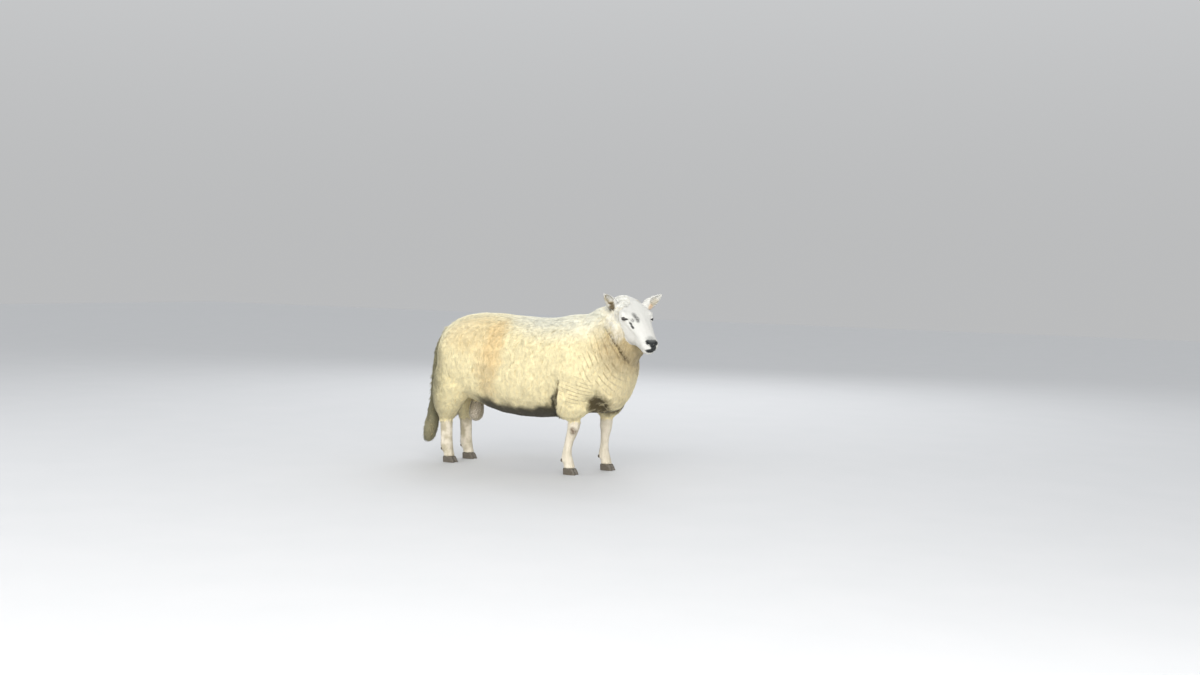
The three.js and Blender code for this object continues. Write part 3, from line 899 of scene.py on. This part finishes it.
def woolLie(at, normal):
    # the way the fleece falls: down the sides and rump, back along the belly, off the face on the neck
    x, y, z = at.T
    side = np.sign(y) * smoothStep(0.0, 0.03, np.abs(y))
    outwards = 0.55 * side * smoothStep(0.6, 0.72, z)
    lie = np.stack([np.full(len(at), -0.14), outwards, np.full(len(at), -1.0)], 1)
    neck = smoothStep(0.30, 0.42, x + 0.35 * (z - 0.55))
    lie[:, 0] -= 0.25 * neck
    belly = smoothStep(-0.5, -0.9, normal[:, 2])
    top = smoothStep(0.55, 0.85, normal[:, 2])
    lie[:, 0] -= 1.2 * np.maximum(belly, top)
    swirl = np.stack([rolling(at, 0.09, seed) for seed in (61, 62, 63)], 1)
    lie = unit(lie) + 0.2 * swirl
    flat = lie - normal * (lie * normal).sum(1)[:, None]
    return unit(flat)


def foldAt(at):
    # 1 along a crease of the fleece, 0 away from it
    fold = np.zeros(len(at))
    for line, reach, both in woolSettings["creases"]:
        for side in (1, -1) if both else (1,):
            gap = lineDistance(at, [mirrored(p, side) for p in line])
            fold = np.maximum(fold, np.exp(-((gap / reach) ** 2)))
    return fold


def knotAt(head):
    # 1 on the curly wool of the poll, more to the right of it than the left
    return smoothStep(74, 60, np.linalg.norm((head - (-14, -24, 46)) / (1, 1, 0.9), axis=1))


def makeTopknot(skin, placesOf):
    mesh = skin.data
    knot = knotAt(toHead(pointsOf(mesh))) * (readValues(mesh, "ear") < 0.2) * readValues(mesh, "woolly")
    found = scatter(mesh, np.where(knot > 0.45, 1.0, 0.0), woolSettings["knotSpacing"], 15)
    at, normal = found["at"], found["normal"]
    count = len(at)
    dice = np.random.default_rng(16)
    depth = found["value"]("depth")
    swirl = np.stack([rolling(at, 0.03, seed) for seed in (64, 65, 66)], 1)
    swirl = swirl + 0.3 * dice.normal(size=(count, 3))
    lie = unit(woolLie(at, normal) * 0.5 + swirl)
    lie = unit(lie - normal * (lie * normal).sum(1)[:, None])
    clump = nearestClump(at, 0.008, 17)
    roots = {
        "at": at, "normal": normal, "lie": lie,
        "rise": depth * (0.95 + 0.1 * rolling(at, 0.03, 67)) * dice.uniform(0.9, 1.02, count),
        "lean": 0.0085 * dice.uniform(0.7, 1.3, count),
        "width": 0.0018 * dice.uniform(0.8, 1.2, count),
        "clump": at[clump] - at, "tone": dice.random(count)[clump], "place": placesOf(at),
    }
    return buildLocks("wool_topknot", roots, woolSettings["knot"], 18)


def makeWool(skin, placesOf):
    mesh = skin.data
    woolly = readValues(mesh, "woolly")
    settings = woolSettings
    found = scatter(mesh, woolly, settings["spacing"], 11)
    at, normal = found["at"], found["normal"]
    depth = found["value"]("depth")
    tail = found["value"]("tail")
    dice = np.random.default_rng(12)
    count = len(at)
    lie = woolLie(at, normal)
    clump = nearestClump(at, settings["clump"], 13)
    gather = at[clump] - at
    clumpHeight = dice.normal(1, 0.045, count)[clump]
    clumpTone = dice.random(count)[clump]
    clumpTurn = dice.normal(0, 0.28, count)[clump] + dice.normal(0, 0.16, count)
    side = np.cross(normal, lie)
    lie = unit(lie * np.cos(clumpTurn)[:, None] + side * np.sin(clumpTurn)[:, None])
    head = toHead(at)
    knot = knotAt(head)
    lumps = 1 + 0.10 * rolling(at, 0.07, 21, 2)
    size = np.clip(depth / 0.008, 0.2, 1.1)
    rise = depth * lumps * clumpHeight * dice.uniform(0.78, 1.04, count)
    lean = size * settings["length"] * dice.uniform(0.6, 1.3, count)
    fold = foldAt(at)
    rise = rise * (1 - 0.5 * fold) * (1 - 0.5 * tail * smoothStep(0.58, 0.66, at[:, 2]))
    hanging = smoothStep(-0.2, -0.85, normal[:, 2])
    lean = lean * (1 - 0.5 * hanging)
    width = settings["width"] * (0.3 + 0.7 * size) * dice.uniform(0.75, 1.25, count)
    # the tone: each clump's random tone, pushed below nought along the creases to carry their painted shade
    roots = {"at": at, "normal": normal, "lie": lie, "rise": rise, "lean": lean, "width": width,
             "clump": gather, "tone": (0.6 * clumpTone + 0.4 * dice.random(count)) * (1 - fold) - 1.9 * fold,
             "place": placesOf(at)}
    x, z = at[:, 0], at[:, 2]
    groups = {
        "wool_tail": tail > 0.5,
        "wool_haunches": (x < -0.36) & (z < 0.46),
        "wool_rump": x < -0.36,
        "wool_loin": x < -0.18,
        "wool_flanks": x < -0.02,
        "wool_ribs": x < 0.13,
        "wool_elbows": z < 0.42,
        "wool_shoulders": x < 0.32,
        "wool_neck": np.ones(count, bool),
    }
    left = knot < 0.5
    pieces = [makeTopknot(skin, placesOf)]
    for name, chosen in groups.items():
        chosen = chosen & left
        left &= ~chosen
        pieces.append(buildLocks(name, take(roots, chosen), settings["shape"], 31))
    return pieces


hairSettings = {
    "face": {"spacing": 0.0019, "width": 0.0013, "length": 0.0052, "rise": 0.0008},
    "leg": {"spacing": 0.0022, "width": 0.0015, "length": 0.0065, "rise": 0.0011},
    "shape": {"stations": (0,), "fullness": (1.0,), "lift": 1.0, "over": 0, "droop": 1.0, "curl": 0.0,
              "turns": 0.5, "gather": 0.3, "thick": 0.4, "sunk": 0.0005, "calm": 0.9, "pointed": False},
}


def makeHair(skin, placesOf):
    mesh = skin.data
    woolly = readValues(mesh, "woolly")
    bare = smoothStep(0.9, 0.5, woolly)
    head = toHead(pointsOf(mesh))
    onLegs = (pointsOf(mesh)[:, 2] < 0.4).astype(float)
    nose = ((head - (298, 0, -4)) / (26, 34, 26)) ** 2
    bald = np.clip(np.exp(-nose.sum(1) ** 2) * 1.2, 0, 1)
    lids = smoothStep(0.25, 0.6, readValues(mesh, "rim"))
    for side in (1, -1):
        away, distance, front, slitX, slitY = eyePlace(head, side)
        onLid = (np.hypot(slitX / 1.25, slitY) < 15.5) & (front > 0) & (distance < 30)
        lids = np.maximum(lids, onLid.astype(float))
    made = []
    for name, weight, seed in (
        ("hair_face", bare * (1 - onLegs) * (1 - bald) * (1 - lids), 41),
        ("hair_legs", bare * onLegs, 51),
    ):
        kind = "face" if "face" in name else "leg"
        settings = hairSettings[kind]
        found = scatter(mesh, weight, settings["spacing"], seed)
        at, normal = found["at"], found["normal"]
        count = len(at)
        dice = np.random.default_rng(seed + 1)
        if kind == "face":
            ear = found["value"]("ear")
            local = toHead(at)
            back = np.tile(np.array((-1.0, 0, 0.0)), (count, 1))
            back[:, 1] = 0.25 * np.sign(local[:, 1])
            outward = np.stack([np.full(count, -0.06), 0.72 * np.sign(local[:, 1]), np.full(count, 0.66)], 1)
            lie = np.where(ear[:, None] > 0.5, outward, back) @ headTurn.T
        else:
            lie = np.tile(np.array((-0.15, 0, -1.0)), (count, 1))
        lie = unit(lie) + 0.22 * dice.normal(size=(count, 3))
        lie = unit(lie - normal * (lie * normal).sum(1)[:, None])
        clump = nearestClump(at, settings["spacing"] * 2.2, seed + 2)
        roots = {
            "at": at, "normal": normal, "lie": lie,
            "rise": settings["rise"] * dice.uniform(0.6, 1.3, count),
            "lean": settings["length"] * dice.uniform(0.7, 1.3, count),
            "width": settings["width"] * dice.uniform(0.7, 1.3, count),
            "clump": at[clump] - at, "tone": dice.random(count), "place": placesOf(at),
        }
        made.append(buildLocks(name, roots, hairSettings["shape"], seed + 3))
    return made


# ---- finishes

def hue(red, green, blue):
    # from the usual 0 to 255 to what the shader takes
    shares = [v / 255 for v in (red, green, blue)]
    return tuple(((v + 0.055) / 1.055) ** 2.4 if v > 0.04 else v / 12.92 for v in shares) + (1,)


def addNode(tree, kind, settings=None, **inputs):
    node = tree.nodes.new(kind)
    for key, value in (settings or {}).items():
        setattr(node, key, value)
    for key, value in inputs.items():
        slot = node.inputs[int(key[1:]) if key[0] == "i" and key[1:].isdigit() else key.replace("_", " ")]
        if isinstance(value, bpy.types.NodeSocket):
            tree.links.new(value, slot)
        else:
            slot.default_value = value
    return node


def mathNode(tree, operation, a, b=0.0):
    return addNode(tree, "ShaderNodeMath", {"operation": operation}, i0=a, i1=b).outputs[0]


def times(tree, a, b):
    return mathNode(tree, "MULTIPLY", a, b)


def rampNode(tree, value, low, high, first=0.0, last=1.0):
    node = addNode(tree, "ShaderNodeMapRange", {"interpolation_type": "SMOOTHSTEP"}, Value=value)
    for key, amount in (("From Min", low), ("From Max", high), ("To Min", first), ("To Max", last)):
        node.inputs[key].default_value = amount
    return node.outputs["Result"]


def vectorNode(tree, operation, out=0, **inputs):
    return addNode(tree, "ShaderNodeVectorMath", {"operation": operation}, **inputs).outputs[out]


def blendNode(tree, mask, under, over, kind="MIX"):
    values = {"data_type": "RGBA", "blend_type": kind}
    return addNode(tree, "ShaderNodeMix", values, i0=mask, i6=under, i7=over).outputs[2]


def noiseNode(tree, vector, scale, detail=2.0, output="Fac"):
    return addNode(tree, "ShaderNodeTexNoise", Vector=vector, Scale=scale, Detail=detail).outputs[output]


def warpNode(tree, place, scale, amount):
    # the place pushed about, so that each zone gets a ragged edge
    warp = noiseNode(tree, place, scale, 3.0, "Color")
    warp = vectorNode(tree, "SUBTRACT", i0=warp, i1=(0.5, 0.5, 0.5))
    warp = vectorNode(tree, "SCALE", i0=warp, Scale=amount)
    return vectorNode(tree, "ADD", i0=place, i1=warp)


def startGroup(name):
    # a group that gives the colour at a place on the animal
    tree = bpy.data.node_groups.new(name, "ShaderNodeTree")
    tree.interface.new_socket("Place", in_out="INPUT", socket_type="NodeSocketVector")
    tree.interface.new_socket("Color", in_out="OUTPUT", socket_type="NodeSocketColor")
    return tree, tree.nodes.new("NodeGroupInput").outputs["Place"]


def finishGroup(tree, colour):
    tree.links.new(colour, tree.nodes.new("NodeGroupOutput").inputs["Color"])
    return tree


def zoneNode(tree, vector, centre, reach, edge=0.6):
    # 1 inside an ellipsoid, fading to 0 past its surface
    moved = vectorNode(tree, "SUBTRACT", i0=vector, i1=centre)
    scaled = vectorNode(tree, "DIVIDE", i0=moved, i1=reach)
    length = vectorNode(tree, "LENGTH", i0=scaled, out="Value")
    return rampNode(tree, length, 1 + edge / 2, 1 - edge / 2)


fleeceTones = {
    "base": hue(246, 233, 188),
    # whiter along the top of the back
    "paler_top": hue(241, 240, 222),
    "gold": hue(238, 210, 156),
    "rump": hue(251, 243, 206),
    "grey": hue(146, 142, 112),
    "thigh": hue(246, 233, 186),
    "brown": hue(46, 41, 22),
    # sooty brown wool, darkened further as painted shade between the forelegs and in front of the arm
    "soot_and_shade": hue(84, 73, 44),
    "chest": hue(252, 236, 190),
    "neck": hue(188, 171, 134),
    "topknot": hue(242, 241, 232),
    "tail": hue(112, 110, 88),
    # the painted shade in the wrinkles of the fleece
    "wrinkle": hue(132, 108, 68),
    "curl": hue(96, 92, 66),
    "fold": hue(104, 90, 58),  # painted shade: multiplies the tone where the fleece folds in
}
# each zone of colour: tone, middle and reach in metres, strength, softness; the soot zones are sooty wool
# with painted shade in front of the arm, between the forelegs and under the chest
fleeceZones = [
    # whiter along the top of the back, from the withers to the middle of the back
    ("paler_top", (0.16, 0.0, 0.80), (0.34, 0.30, 0.19), 0.9, 0.7),
    ("rump", (-0.42, 0.0, 0.72), (0.20, 0.30, 0.14), 0.8, 0.7),
    ("thigh", (-0.42, 0.0, 0.32), (0.28, 0.40, 0.16), 0.8, 0.7),
    ("gold", (-0.15, 0.21, 0.60), (0.055, 0.14, 0.12), 0.85, 0.9),
    ("gold", (-0.20, 0.21, 0.46), (0.06, 0.14, 0.13), 0.55, 0.9),
    ("gold", (-0.28, 0.21, 0.66), (0.14, 0.14, 0.12), 0.45, 0.9),
    ("grey", (-0.60, 0.0, 0.44), (0.17, 0.40, 0.21), 0.8, 0.8),
    ("chest", (0.50, 0.0, 0.42), (0.13, 0.30, 0.17), 0.8, 0.8),
    ("neck", (0.44, 0.0, 0.61), (0.12, 0.26, 0.13), 0.9, 0.9),
    # sooty wool with painted shade: in front of the arm, between the forelegs and under the chest
    ("soot_and_shade", (0.358, 0.11, 0.335), (0.046, 0.085, 0.066), 1.0, 0.9),
    ("soot_and_shade", (0.33, 0.0, 0.29), (0.055, 0.12, 0.06), 0.95, 0.6),
    ("soot_and_shade", (0.22, 0.0, 0.29), (0.14, 0.085, 0.08), 0.95, 0.5),
]

# fine dark lines of painted shade in the fleece's wrinkles: middle and reach in metres, the direction across
# them, and the gap between them
wrinkleStrength = 0.5
wrinkles = [
    ((0.39, 0.14, 0.53), (0.09, 0.14, 0.13), (0.895, 0.0, 0.445), 0.022),
    ((0.29, 0.20, 0.40), (0.07, 0.10, 0.07), (0.30, 0.0, 0.95), 0.018),
]

bleachedKnots = (  # place on the head in millimetres, reach in metres, strength
    ((-20, 0, 40), (0.12, 0.12, 0.10), 1.0),
    ((45, -78, 5), (0.05, 0.07, 0.06), 1.0),
    ((108, -92, -40), (0.030, 0.045, 0.05), 0.5),
)


def fleeceGroup():
    # the colour of the coat at a place on the animal, for skin and wool alike, with painted shade between the
    # forelegs and in the wrinkles
    tree, place = startGroup("fleeceMarkings")
    still = place
    place = warpNode(tree, place, 14.0, 0.09)
    parts = addNode(tree, "ShaderNodeSeparateXYZ", Vector=place).outputs
    width = mathNode(tree, "ABSOLUTE", parts["Y"])
    folded = addNode(tree, "ShaderNodeCombineXYZ", X=parts["X"], Y=width, Z=parts["Z"]).outputs[0]
    colour = fleeceTones["base"]
    for tone, middle, reach, strength, edge in fleeceZones:
        mask = times(tree, zoneNode(tree, folded, middle, reach, edge), strength)
        # the sooty wool with its painted shade is broken up by a mottle
        if tone == "soot_and_shade":
            mottle = rampNode(tree, noiseNode(tree, place, 42.0, 4.0), 0.34, 0.5, 0.45, 1.0)
            mask = times(tree, mask, mottle)
        colour = blendNode(tree, mask, colour, fleeceTones[tone])
    # the belly, brown up to a line that rises towards the flank
    run = mathNode(tree, "DIVIDE", mathNode(tree, "ADD", parts["X"], 0.03), 0.28)
    line = times(tree, times(tree, run, run), 0.045)
    line = mathNode(tree, "ADD", line, rampNode(tree, parts["X"], 0.14, 0.20, 0.0, 0.09))
    above = mathNode(tree, "SUBTRACT", mathNode(tree, "SUBTRACT", parts["Z"], 0.27), line)
    belly = rampNode(tree, above, 0.07, 0.015)
    belly = times(tree, belly, rampNode(tree, parts["X"], 0.195, 0.165))
    belly = times(tree, belly, rampNode(tree, parts["X"], -0.36, -0.24))
    colour = blendNode(tree, times(tree, belly, 0.96), colour, fleeceTones["brown"])
    for at, reach, strength in bleachedKnots:
        knot = times(tree, zoneNode(tree, place, tuple(fromHead(at)), reach, 0.9), strength)
        colour = blendNode(tree, knot, colour, fleeceTones["topknot"])
    # painted shade along fine wrinkles over the shoulder, and the dirty curls of the rump
    for middle, reach, run, gap in wrinkles:
        along = vectorNode(tree, "DOT_PRODUCT", i0=still, i1=run, out="Value")
        bend = times(tree, noiseNode(tree, still, 7.0, 2.0), 6.0)
        turn = mathNode(tree, "ADD", times(tree, along, 2 * math.pi / gap), bend)
        line = rampNode(tree, mathNode(tree, "SINE", turn), 0.45, 1.0)
        line = times(tree, line, rampNode(tree, noiseNode(tree, still, 26.0, 2.0), 0.38, 0.58))
        line = times(tree, line, zoneNode(tree, folded, middle, reach, 1.0))
        colour = blendNode(tree, times(tree, line, wrinkleStrength), colour, fleeceTones["wrinkle"])
    curls = rampNode(tree, noiseNode(tree, place, 48.0, 4.0), 0.44, 0.60)
    nearTail = zoneNode(tree, folded, (-0.60, 0.12, 0.44), (0.14, 0.22, 0.17), 0.9)
    curls = times(tree, curls, nearTail)
    colour = blendNode(tree, times(tree, curls, 0.55), colour, fleeceTones["curl"])
    patchy = rampNode(tree, noiseNode(tree, place, 26.0, 3.0), 0.25, 0.75, 0.91, 1.05)
    colour = shade(tree, colour, patchy)
    streaks = addNode(tree, "ShaderNodeMapping", Vector=place)
    streaks.inputs["Scale"].default_value = (1, 1, 0.2)
    streaked = noiseNode(tree, streaks.outputs[0], 70.0, 3.0)
    colour = shade(tree, colour, rampNode(tree, streaked, 0.3, 0.7, 0.86, 1.05))
    return finishGroup(tree, colour)


faceTones = {
    "white": hue(211, 210, 204),
    "nose": hue(36, 39, 39),
    "grey": hue(120, 122, 120),
    "slit": hue(62, 62, 60),
    "earInside": hue(164, 150, 116),
    "earDark": hue(88, 73, 44),
    "earOrange": hue(214, 172, 124),
}
# marks in head millimetres: tone, middle, reach, strength, softness
faceMarks = [
    ("nose", (277, -15, 18), (17, 14, 11), 1.0, 0.5),  # nostrils and the pad between
    ("nose", (277, 22, 17), (17, 18, 12), 1.0, 0.5),
    ("nose", (277, 4, 20), (15, 17, 12), 1.0, 0.5),
    ("nose", (289, -1, 10), (10, 11, 10), 1.0, 0.6),
    ("nose", (292, 10, 2), (16, 16, 16), 1.0, 0.5),
    ("nose", (298, -2, -17), (20, 27, 13), 1.0, 0.5),  # mouth
    ("grey", (262, 4, 28), (16, 26, 12), 0.55, 1.2),
    ("slit", (112, -29, 52), (17, 10, 16), 0.75, 1.3),
    ("slit", (136, -25, 50), (16, 10, 16), 0.8, 1.2),
    ("slit", (152, -27, 48), (10, 8, 14), 0.6, 1.2),
    ("slit", (139, -47, 42), (10, 8, 10), 0.7, 1.2),
    ("slit", (117, -65, 32), (5, 7, 4), 1.0, 0.7),  # corners of the eyes
    ("slit", (117, 65, 32), (5, 7, 4), 1.0, 0.7),
    ("slit", (93, -79, 23), (4, 7, 3), 0.9, 0.7),
    ("slit", (93, 79, 23), (4, 7, 3), 0.9, 0.7),
    ("slit", (150, -58, 27), (17, 8, 6), 1.0, 0.6),
    ("slit", (168, -56, 23), (15, 8, 6), 1.0, 0.6),
    ("slit", (156, 56, 25), (16, 5, 3), 0.5, 0.8),
    ("earInside", (6, -139, 71), (14, 13, 15), 0.8, 0.8),
    ("earInside", (8, -121, 54), (14, 16, 18), 0.9, 0.8),
    ("earInside", (12, -106, 38), (16, 16, 18), 0.95, 0.8),
    ("earDark", (12, -113, 43), (14, 12, 15), 0.6, 0.9),
    ("earDark", (14, -103, 33), (14, 13, 18), 0.9, 0.8),
    ("earDark", (24, -92, 16), (14, 10, 16), 0.9, 0.8),
    ("earDark", (27, -104, 33), (13, 13, 16), 0.85, 0.8),
    ("earInside", (8, 124, 58), (14, 17, 20), 0.5, 0.8),
    ("earInside", (12, 106, 44), (16, 16, 18), 0.6, 0.8),
    ("earOrange", (24, 99, 36), (17, 11, 15), 0.6, 0.9),
]


def faceGroup():
    # the marks of the face at a place on the animal
    tree, place = startGroup("faceMarkings")
    mapping = addNode(tree, "ShaderNodeMapping", {"vector_type": "TEXTURE"}, Vector=place)
    mapping.inputs["Location"].default_value = headOrigin
    mapping.inputs["Rotation"].default_value = Matrix(headTurn.tolist()).to_euler()
    mapping.inputs["Scale"].default_value = (0.001, 0.001, 0.001)
    local = mapping.outputs[0]
    local = warpNode(tree, local, 0.09, 6.0)
    colour = faceTones["white"]
    mottle = rampNode(tree, noiseNode(tree, local, 0.16, 3.0), 0.32, 0.56, 0.45, 1.0)
    for tone, middle, reach, strength, edge in faceMarks:
        mask = times(tree, zoneNode(tree, local, middle, reach, edge), strength)
        if tone == "slit" and edge > 1:
            mask = times(tree, mask, mottle)
        colour = blendNode(tree, mask, colour, faceTones[tone])
    return finishGroup(tree, colour)


legTones = {"clean": hue(226, 217, 198), "stain": hue(188, 178, 152), "scuff": hue(116, 100, 82)}


def legGroup():
    tree, place = startGroup("legMarkings")
    parts = addNode(tree, "ShaderNodeSeparateXYZ", Vector=place).outputs
    patches = rampNode(tree, noiseNode(tree, place, 22.0, 4.0), 0.36, 0.62)
    behind = rampNode(tree, parts["X"], 0.0, -0.3, 0.35, 1.0)
    stained = times(tree, patches, behind)
    colour = blendNode(tree, stained, legTones["clean"], legTones["stain"])
    scuff = zoneNode(tree, place, (0.243, -0.148, 0.208), (0.014, 0.030, 0.018), 1.2)
    grain = rampNode(tree, noiseNode(tree, place, 90.0, 3.0), 0.35, 0.6, 0.6, 1.0)
    colour = blendNode(tree, times(tree, scuff, grain), colour, legTones["scuff"])
    return finishGroup(tree, colour)


def startMaterial(name, roughness):
    material = bpy.data.materials.new(name)
    material.use_nodes = True
    tree = material.node_tree
    shader = tree.nodes["Principled BSDF"]
    shader.inputs["Roughness"].default_value = roughness
    place = tree.nodes.new("ShaderNodeTexCoord").outputs["Object"]
    return material, tree, shader, place


def placeGroup(tree, group, place):
    node = tree.nodes.new("ShaderNodeGroup")
    node.node_tree = group
    tree.links.new(place, node.inputs["Place"])
    return node.outputs["Color"]


def attribute(tree, name):
    return addNode(tree, "ShaderNodeAttribute", {"attribute_name": name}).outputs["Fac"]


def shade(tree, colour, value):
    # brightens or darkens a colour by a value near 1
    grey = addNode(tree, "ShaderNodeCombineXYZ", X=value, Y=value, Z=value).outputs[0]
    return blendNode(tree, 1.0, colour, grey, "MULTIPLY")


def bumpNode(tree, shader, height, strength, distance):
    bump = addNode(tree, "ShaderNodeBump", Height=height, Strength=strength, Distance=distance)
    tree.links.new(bump.outputs["Normal"], shader.inputs["Normal"])


def woolMaterial(name, group, rootTone, onTail=False):
    material, tree, shader, place = startMaterial(name, 0.92)
    shader.inputs["Sheen Weight"].default_value = 0.1
    shader.inputs["Sheen Roughness"].default_value = 0.6
    shader.inputs["Specular IOR Level"].default_value = 0.25
    colour = placeGroup(tree, group, place)
    if onTail:
        height = addNode(tree, "ShaderNodeSeparateXYZ", Vector=place).outputs["Z"]
        dirt = blendNode(tree, rampNode(tree, height, 0.62, 0.2), fleeceTones["grey"], fleeceTones["tail"])
        colour = blendNode(tree, rampNode(tree, height, 0.70, 0.46, 0.1, 0.85), colour, dirt)
    # yellower and a little darker towards the root: the yellower base of the wool and hair, with painted
    # shade deep in the coat
    tip = attribute(tree, "tip")
    roots = blendNode(tree, 1.0, colour, rootTone, "MULTIPLY")
    colour = blendNode(tree, rampNode(tree, tip, 0.05, 0.75), roots, colour)
    # painted shade where the fleece folds in, read from a tone below nought; above nought the tone only
    # varies each clump at random
    folded = rampNode(tree, attribute(tree, "tone"), -0.1, -2.0)
    colour = blendNode(tree, folded, colour, fleeceTones["fold"], "MULTIPLY")
    colour = shade(tree, colour, rampNode(tree, attribute(tree, "tone"), -0.4, 1.0, 0.86, 1.04))
    # fibres drawn along each lock, with a crimp
    tone = attribute(tree, "tone")
    crimp = times(tree, mathNode(tree, "SINE", times(tree, tip, 26.0)), 0.16)
    across = mathNode(tree, "ADD", times(tree, attribute(tree, "strand"), 1.5), crimp)
    shifted = mathNode(tree, "ADD", across, times(tree, tone, 57.0))
    grain = addNode(tree, "ShaderNodeCombineXYZ", X=shifted, Y=times(tree, tip, 0.8),
                    Z=times(tree, tone, 23.0)).outputs[0]
    fibre = noiseNode(tree, grain, 2.6, 3.0)
    colour = shade(tree, colour, rampNode(tree, fibre, 0.3, 0.7, 0.93, 1.04))
    tree.links.new(colour, shader.inputs["Base Color"])
    bumpNode(tree, shader, fibre, 0.4, 0.001)
    return material


def skinMaterial(fleece, face, legs):
    material, tree, shader, place = startMaterial("skin", 0.75)
    shader.inputs["Specular IOR Level"].default_value = 0.3
    shader.inputs["Sheen Weight"].default_value = 0.15
    parts = addNode(tree, "ShaderNodeSeparateXYZ", Vector=place).outputs
    onLegs = rampNode(tree, parts["Z"], 0.45, 0.40)
    colour = blendNode(tree, onLegs, placeGroup(tree, face, place), placeGroup(tree, legs, place))
    # under the wool the skin takes the fleece colour, a little darker and yellower: painted shade between the
    # locks, and the yellower wool at the skin
    under = blendNode(tree, 1.0, placeGroup(tree, fleece, place), hue(236, 230, 214), "MULTIPLY")
    colour = blendNode(tree, rampNode(tree, attribute(tree, "woolly"), 0.35, 0.8), colour, under)
    purse = blendNode(tree, noiseNode(tree, place, 60.0, 3.0), hue(132, 122, 106), hue(108, 98, 84))
    colour = blendNode(tree, attribute(tree, "scrotum"), colour, purse)
    colour = blendNode(tree, attribute(tree, "rim"), colour, hue(38, 34, 32))
    tree.links.new(colour, shader.inputs["Base Color"])
    hair = noiseNode(tree, place, 700.0, 2.0)
    bumpNode(tree, shader, hair, 0.35, 0.001)
    return material


def eyeMaterial():
    material, tree, shader, place = startMaterial("eye", 0.2)
    shader.inputs["Coat Weight"].default_value = 0.6
    shader.inputs["Coat Roughness"].default_value = 0.06
    along, across = attribute(tree, "slitAlong"), attribute(tree, "slitAcross")
    squares = [mathNode(tree, "POWER", value, 2.0) for value in (along, across)]
    radius = mathNode(tree, "SQRT", mathNode(tree, "ADD", *squares))
    spoke = addNode(tree, "ShaderNodeMath", {"operation": "ARCTAN2"}, i0=across, i1=along).outputs[0]
    outwards = times(tree, radius, 0.05)
    ray = addNode(tree, "ShaderNodeCombineXYZ", X=spoke, Y=outwards).outputs[0]
    iris = blendNode(tree, noiseNode(tree, ray, 9.0, 3.0), hue(30, 24, 18), hue(52, 40, 26))
    iris = blendNode(tree, rampNode(tree, radius, 6.0, 9.5), iris, hue(26, 20, 16))
    pupilX = mathNode(tree, "POWER", mathNode(tree, "DIVIDE", mathNode(tree, "ABSOLUTE", along), 5.8), 3.0)
    pupilY = mathNode(tree, "POWER", mathNode(tree, "DIVIDE", mathNode(tree, "ABSOLUTE", across), 2.3), 3.0)
    pupil = rampNode(tree, mathNode(tree, "ADD", pupilX, pupilY), 1.25, 0.85)
    colour = blendNode(tree, pupil, iris, hue(10, 9, 9))
    colour = blendNode(tree, rampNode(tree, radius, 9.8, 11.0), colour, hue(30, 26, 24))
    tree.links.new(colour, shader.inputs["Base Color"])
    return material


def hornMaterial():
    material, tree, shader, place = startMaterial("horn", 0.5)
    stretched = addNode(tree, "ShaderNodeMapping", Vector=place)
    stretched.inputs["Scale"].default_value = (1, 1, 6)
    bands = noiseNode(tree, stretched.outputs[0], 60.0, 4.0)
    colour = blendNode(tree, rampNode(tree, bands, 0.3, 0.8), hue(82, 75, 64), hue(98, 90, 76))
    dirt = rampNode(tree, noiseNode(tree, place, 110.0, 3.0), 0.5, 0.75)
    colour = blendNode(tree, times(tree, dirt, 0.6), colour, hue(70, 60, 44))
    tree.links.new(colour, shader.inputs["Base Color"])
    tree.links.new(rampNode(tree, dirt, 0.0, 1.0, 0.42, 0.75), shader.inputs["Roughness"])
    bumpNode(tree, shader, bands, 0.2, 0.0008)
    return material


def floorMaterial():
    material, tree, shader, place = startMaterial("floor", 0.85)
    grain = noiseNode(tree, place, 3.0, 3.0)
    colour = blendNode(tree, grain, hue(196, 197, 198), hue(201, 201, 202))
    tree.links.new(colour, shader.inputs["Base Color"])
    return material


def dress(item, material):
    item.data.materials.clear()
    item.data.materials.append(material)
    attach(item, "root")


makeCamera()
makeLights()
deselectAll()
bpy.ops.mesh.primitive_plane_add(size=40)
floor = bpy.context.object
floor.name = "floor"
floor.data.materials.append(floorMaterial())

skin, fleshNodes = makeSkin()
sculptBody(skin)
sculptHead(skin)
sculptLegs(skin)
settleCap(skin)
pick(skin)
bpy.ops.object.shade_smooth()
fleece, face, legs = fleeceGroup(), faceGroup(), legGroup()
dress(skin, skinMaterial(fleece, face, legs))
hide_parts(*[name for name in fleshNodes if "eye" not in name])

gloss = eyeMaterial()
for side, name in ((1, "eye_left"), (-1, "eye_right")):
    ball = makeEye(f"{name}_ball", side)
    dress(ball, gloss)
    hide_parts(name)

hornFinish = hornMaterial()
for name in [name for name in nodes if "claw" in name]:
    hoof = makeHoof(name)
    dress(hoof, hornFinish)
    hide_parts(name)
print("hooves made")

plain, placesOf = unwrapPlaces(skin)
woolFinish = woolMaterial("fleece", fleece, hue(248, 240, 222))
tailFinish = woolMaterial("dirtyFleece", fleece, hue(232, 220, 200), True)
for piece in makeWool(skin, placesOf):
    onTail = piece.name == "wool_tail"
    dress(piece, tailFinish if onTail else woolFinish)
faceFinish = woolMaterial("faceHair", face, hue(247, 244, 240))
legFinish = woolMaterial("legHair", legs, hue(244, 238, 230))
for piece in makeHair(skin, placesOf):
    onFace = piece.name == "hair_face"
    dress(piece, faceFinish if onFace else legFinish)
bpy.data.objects.remove(plain)
print("coat grown")
thinSkin(skin)
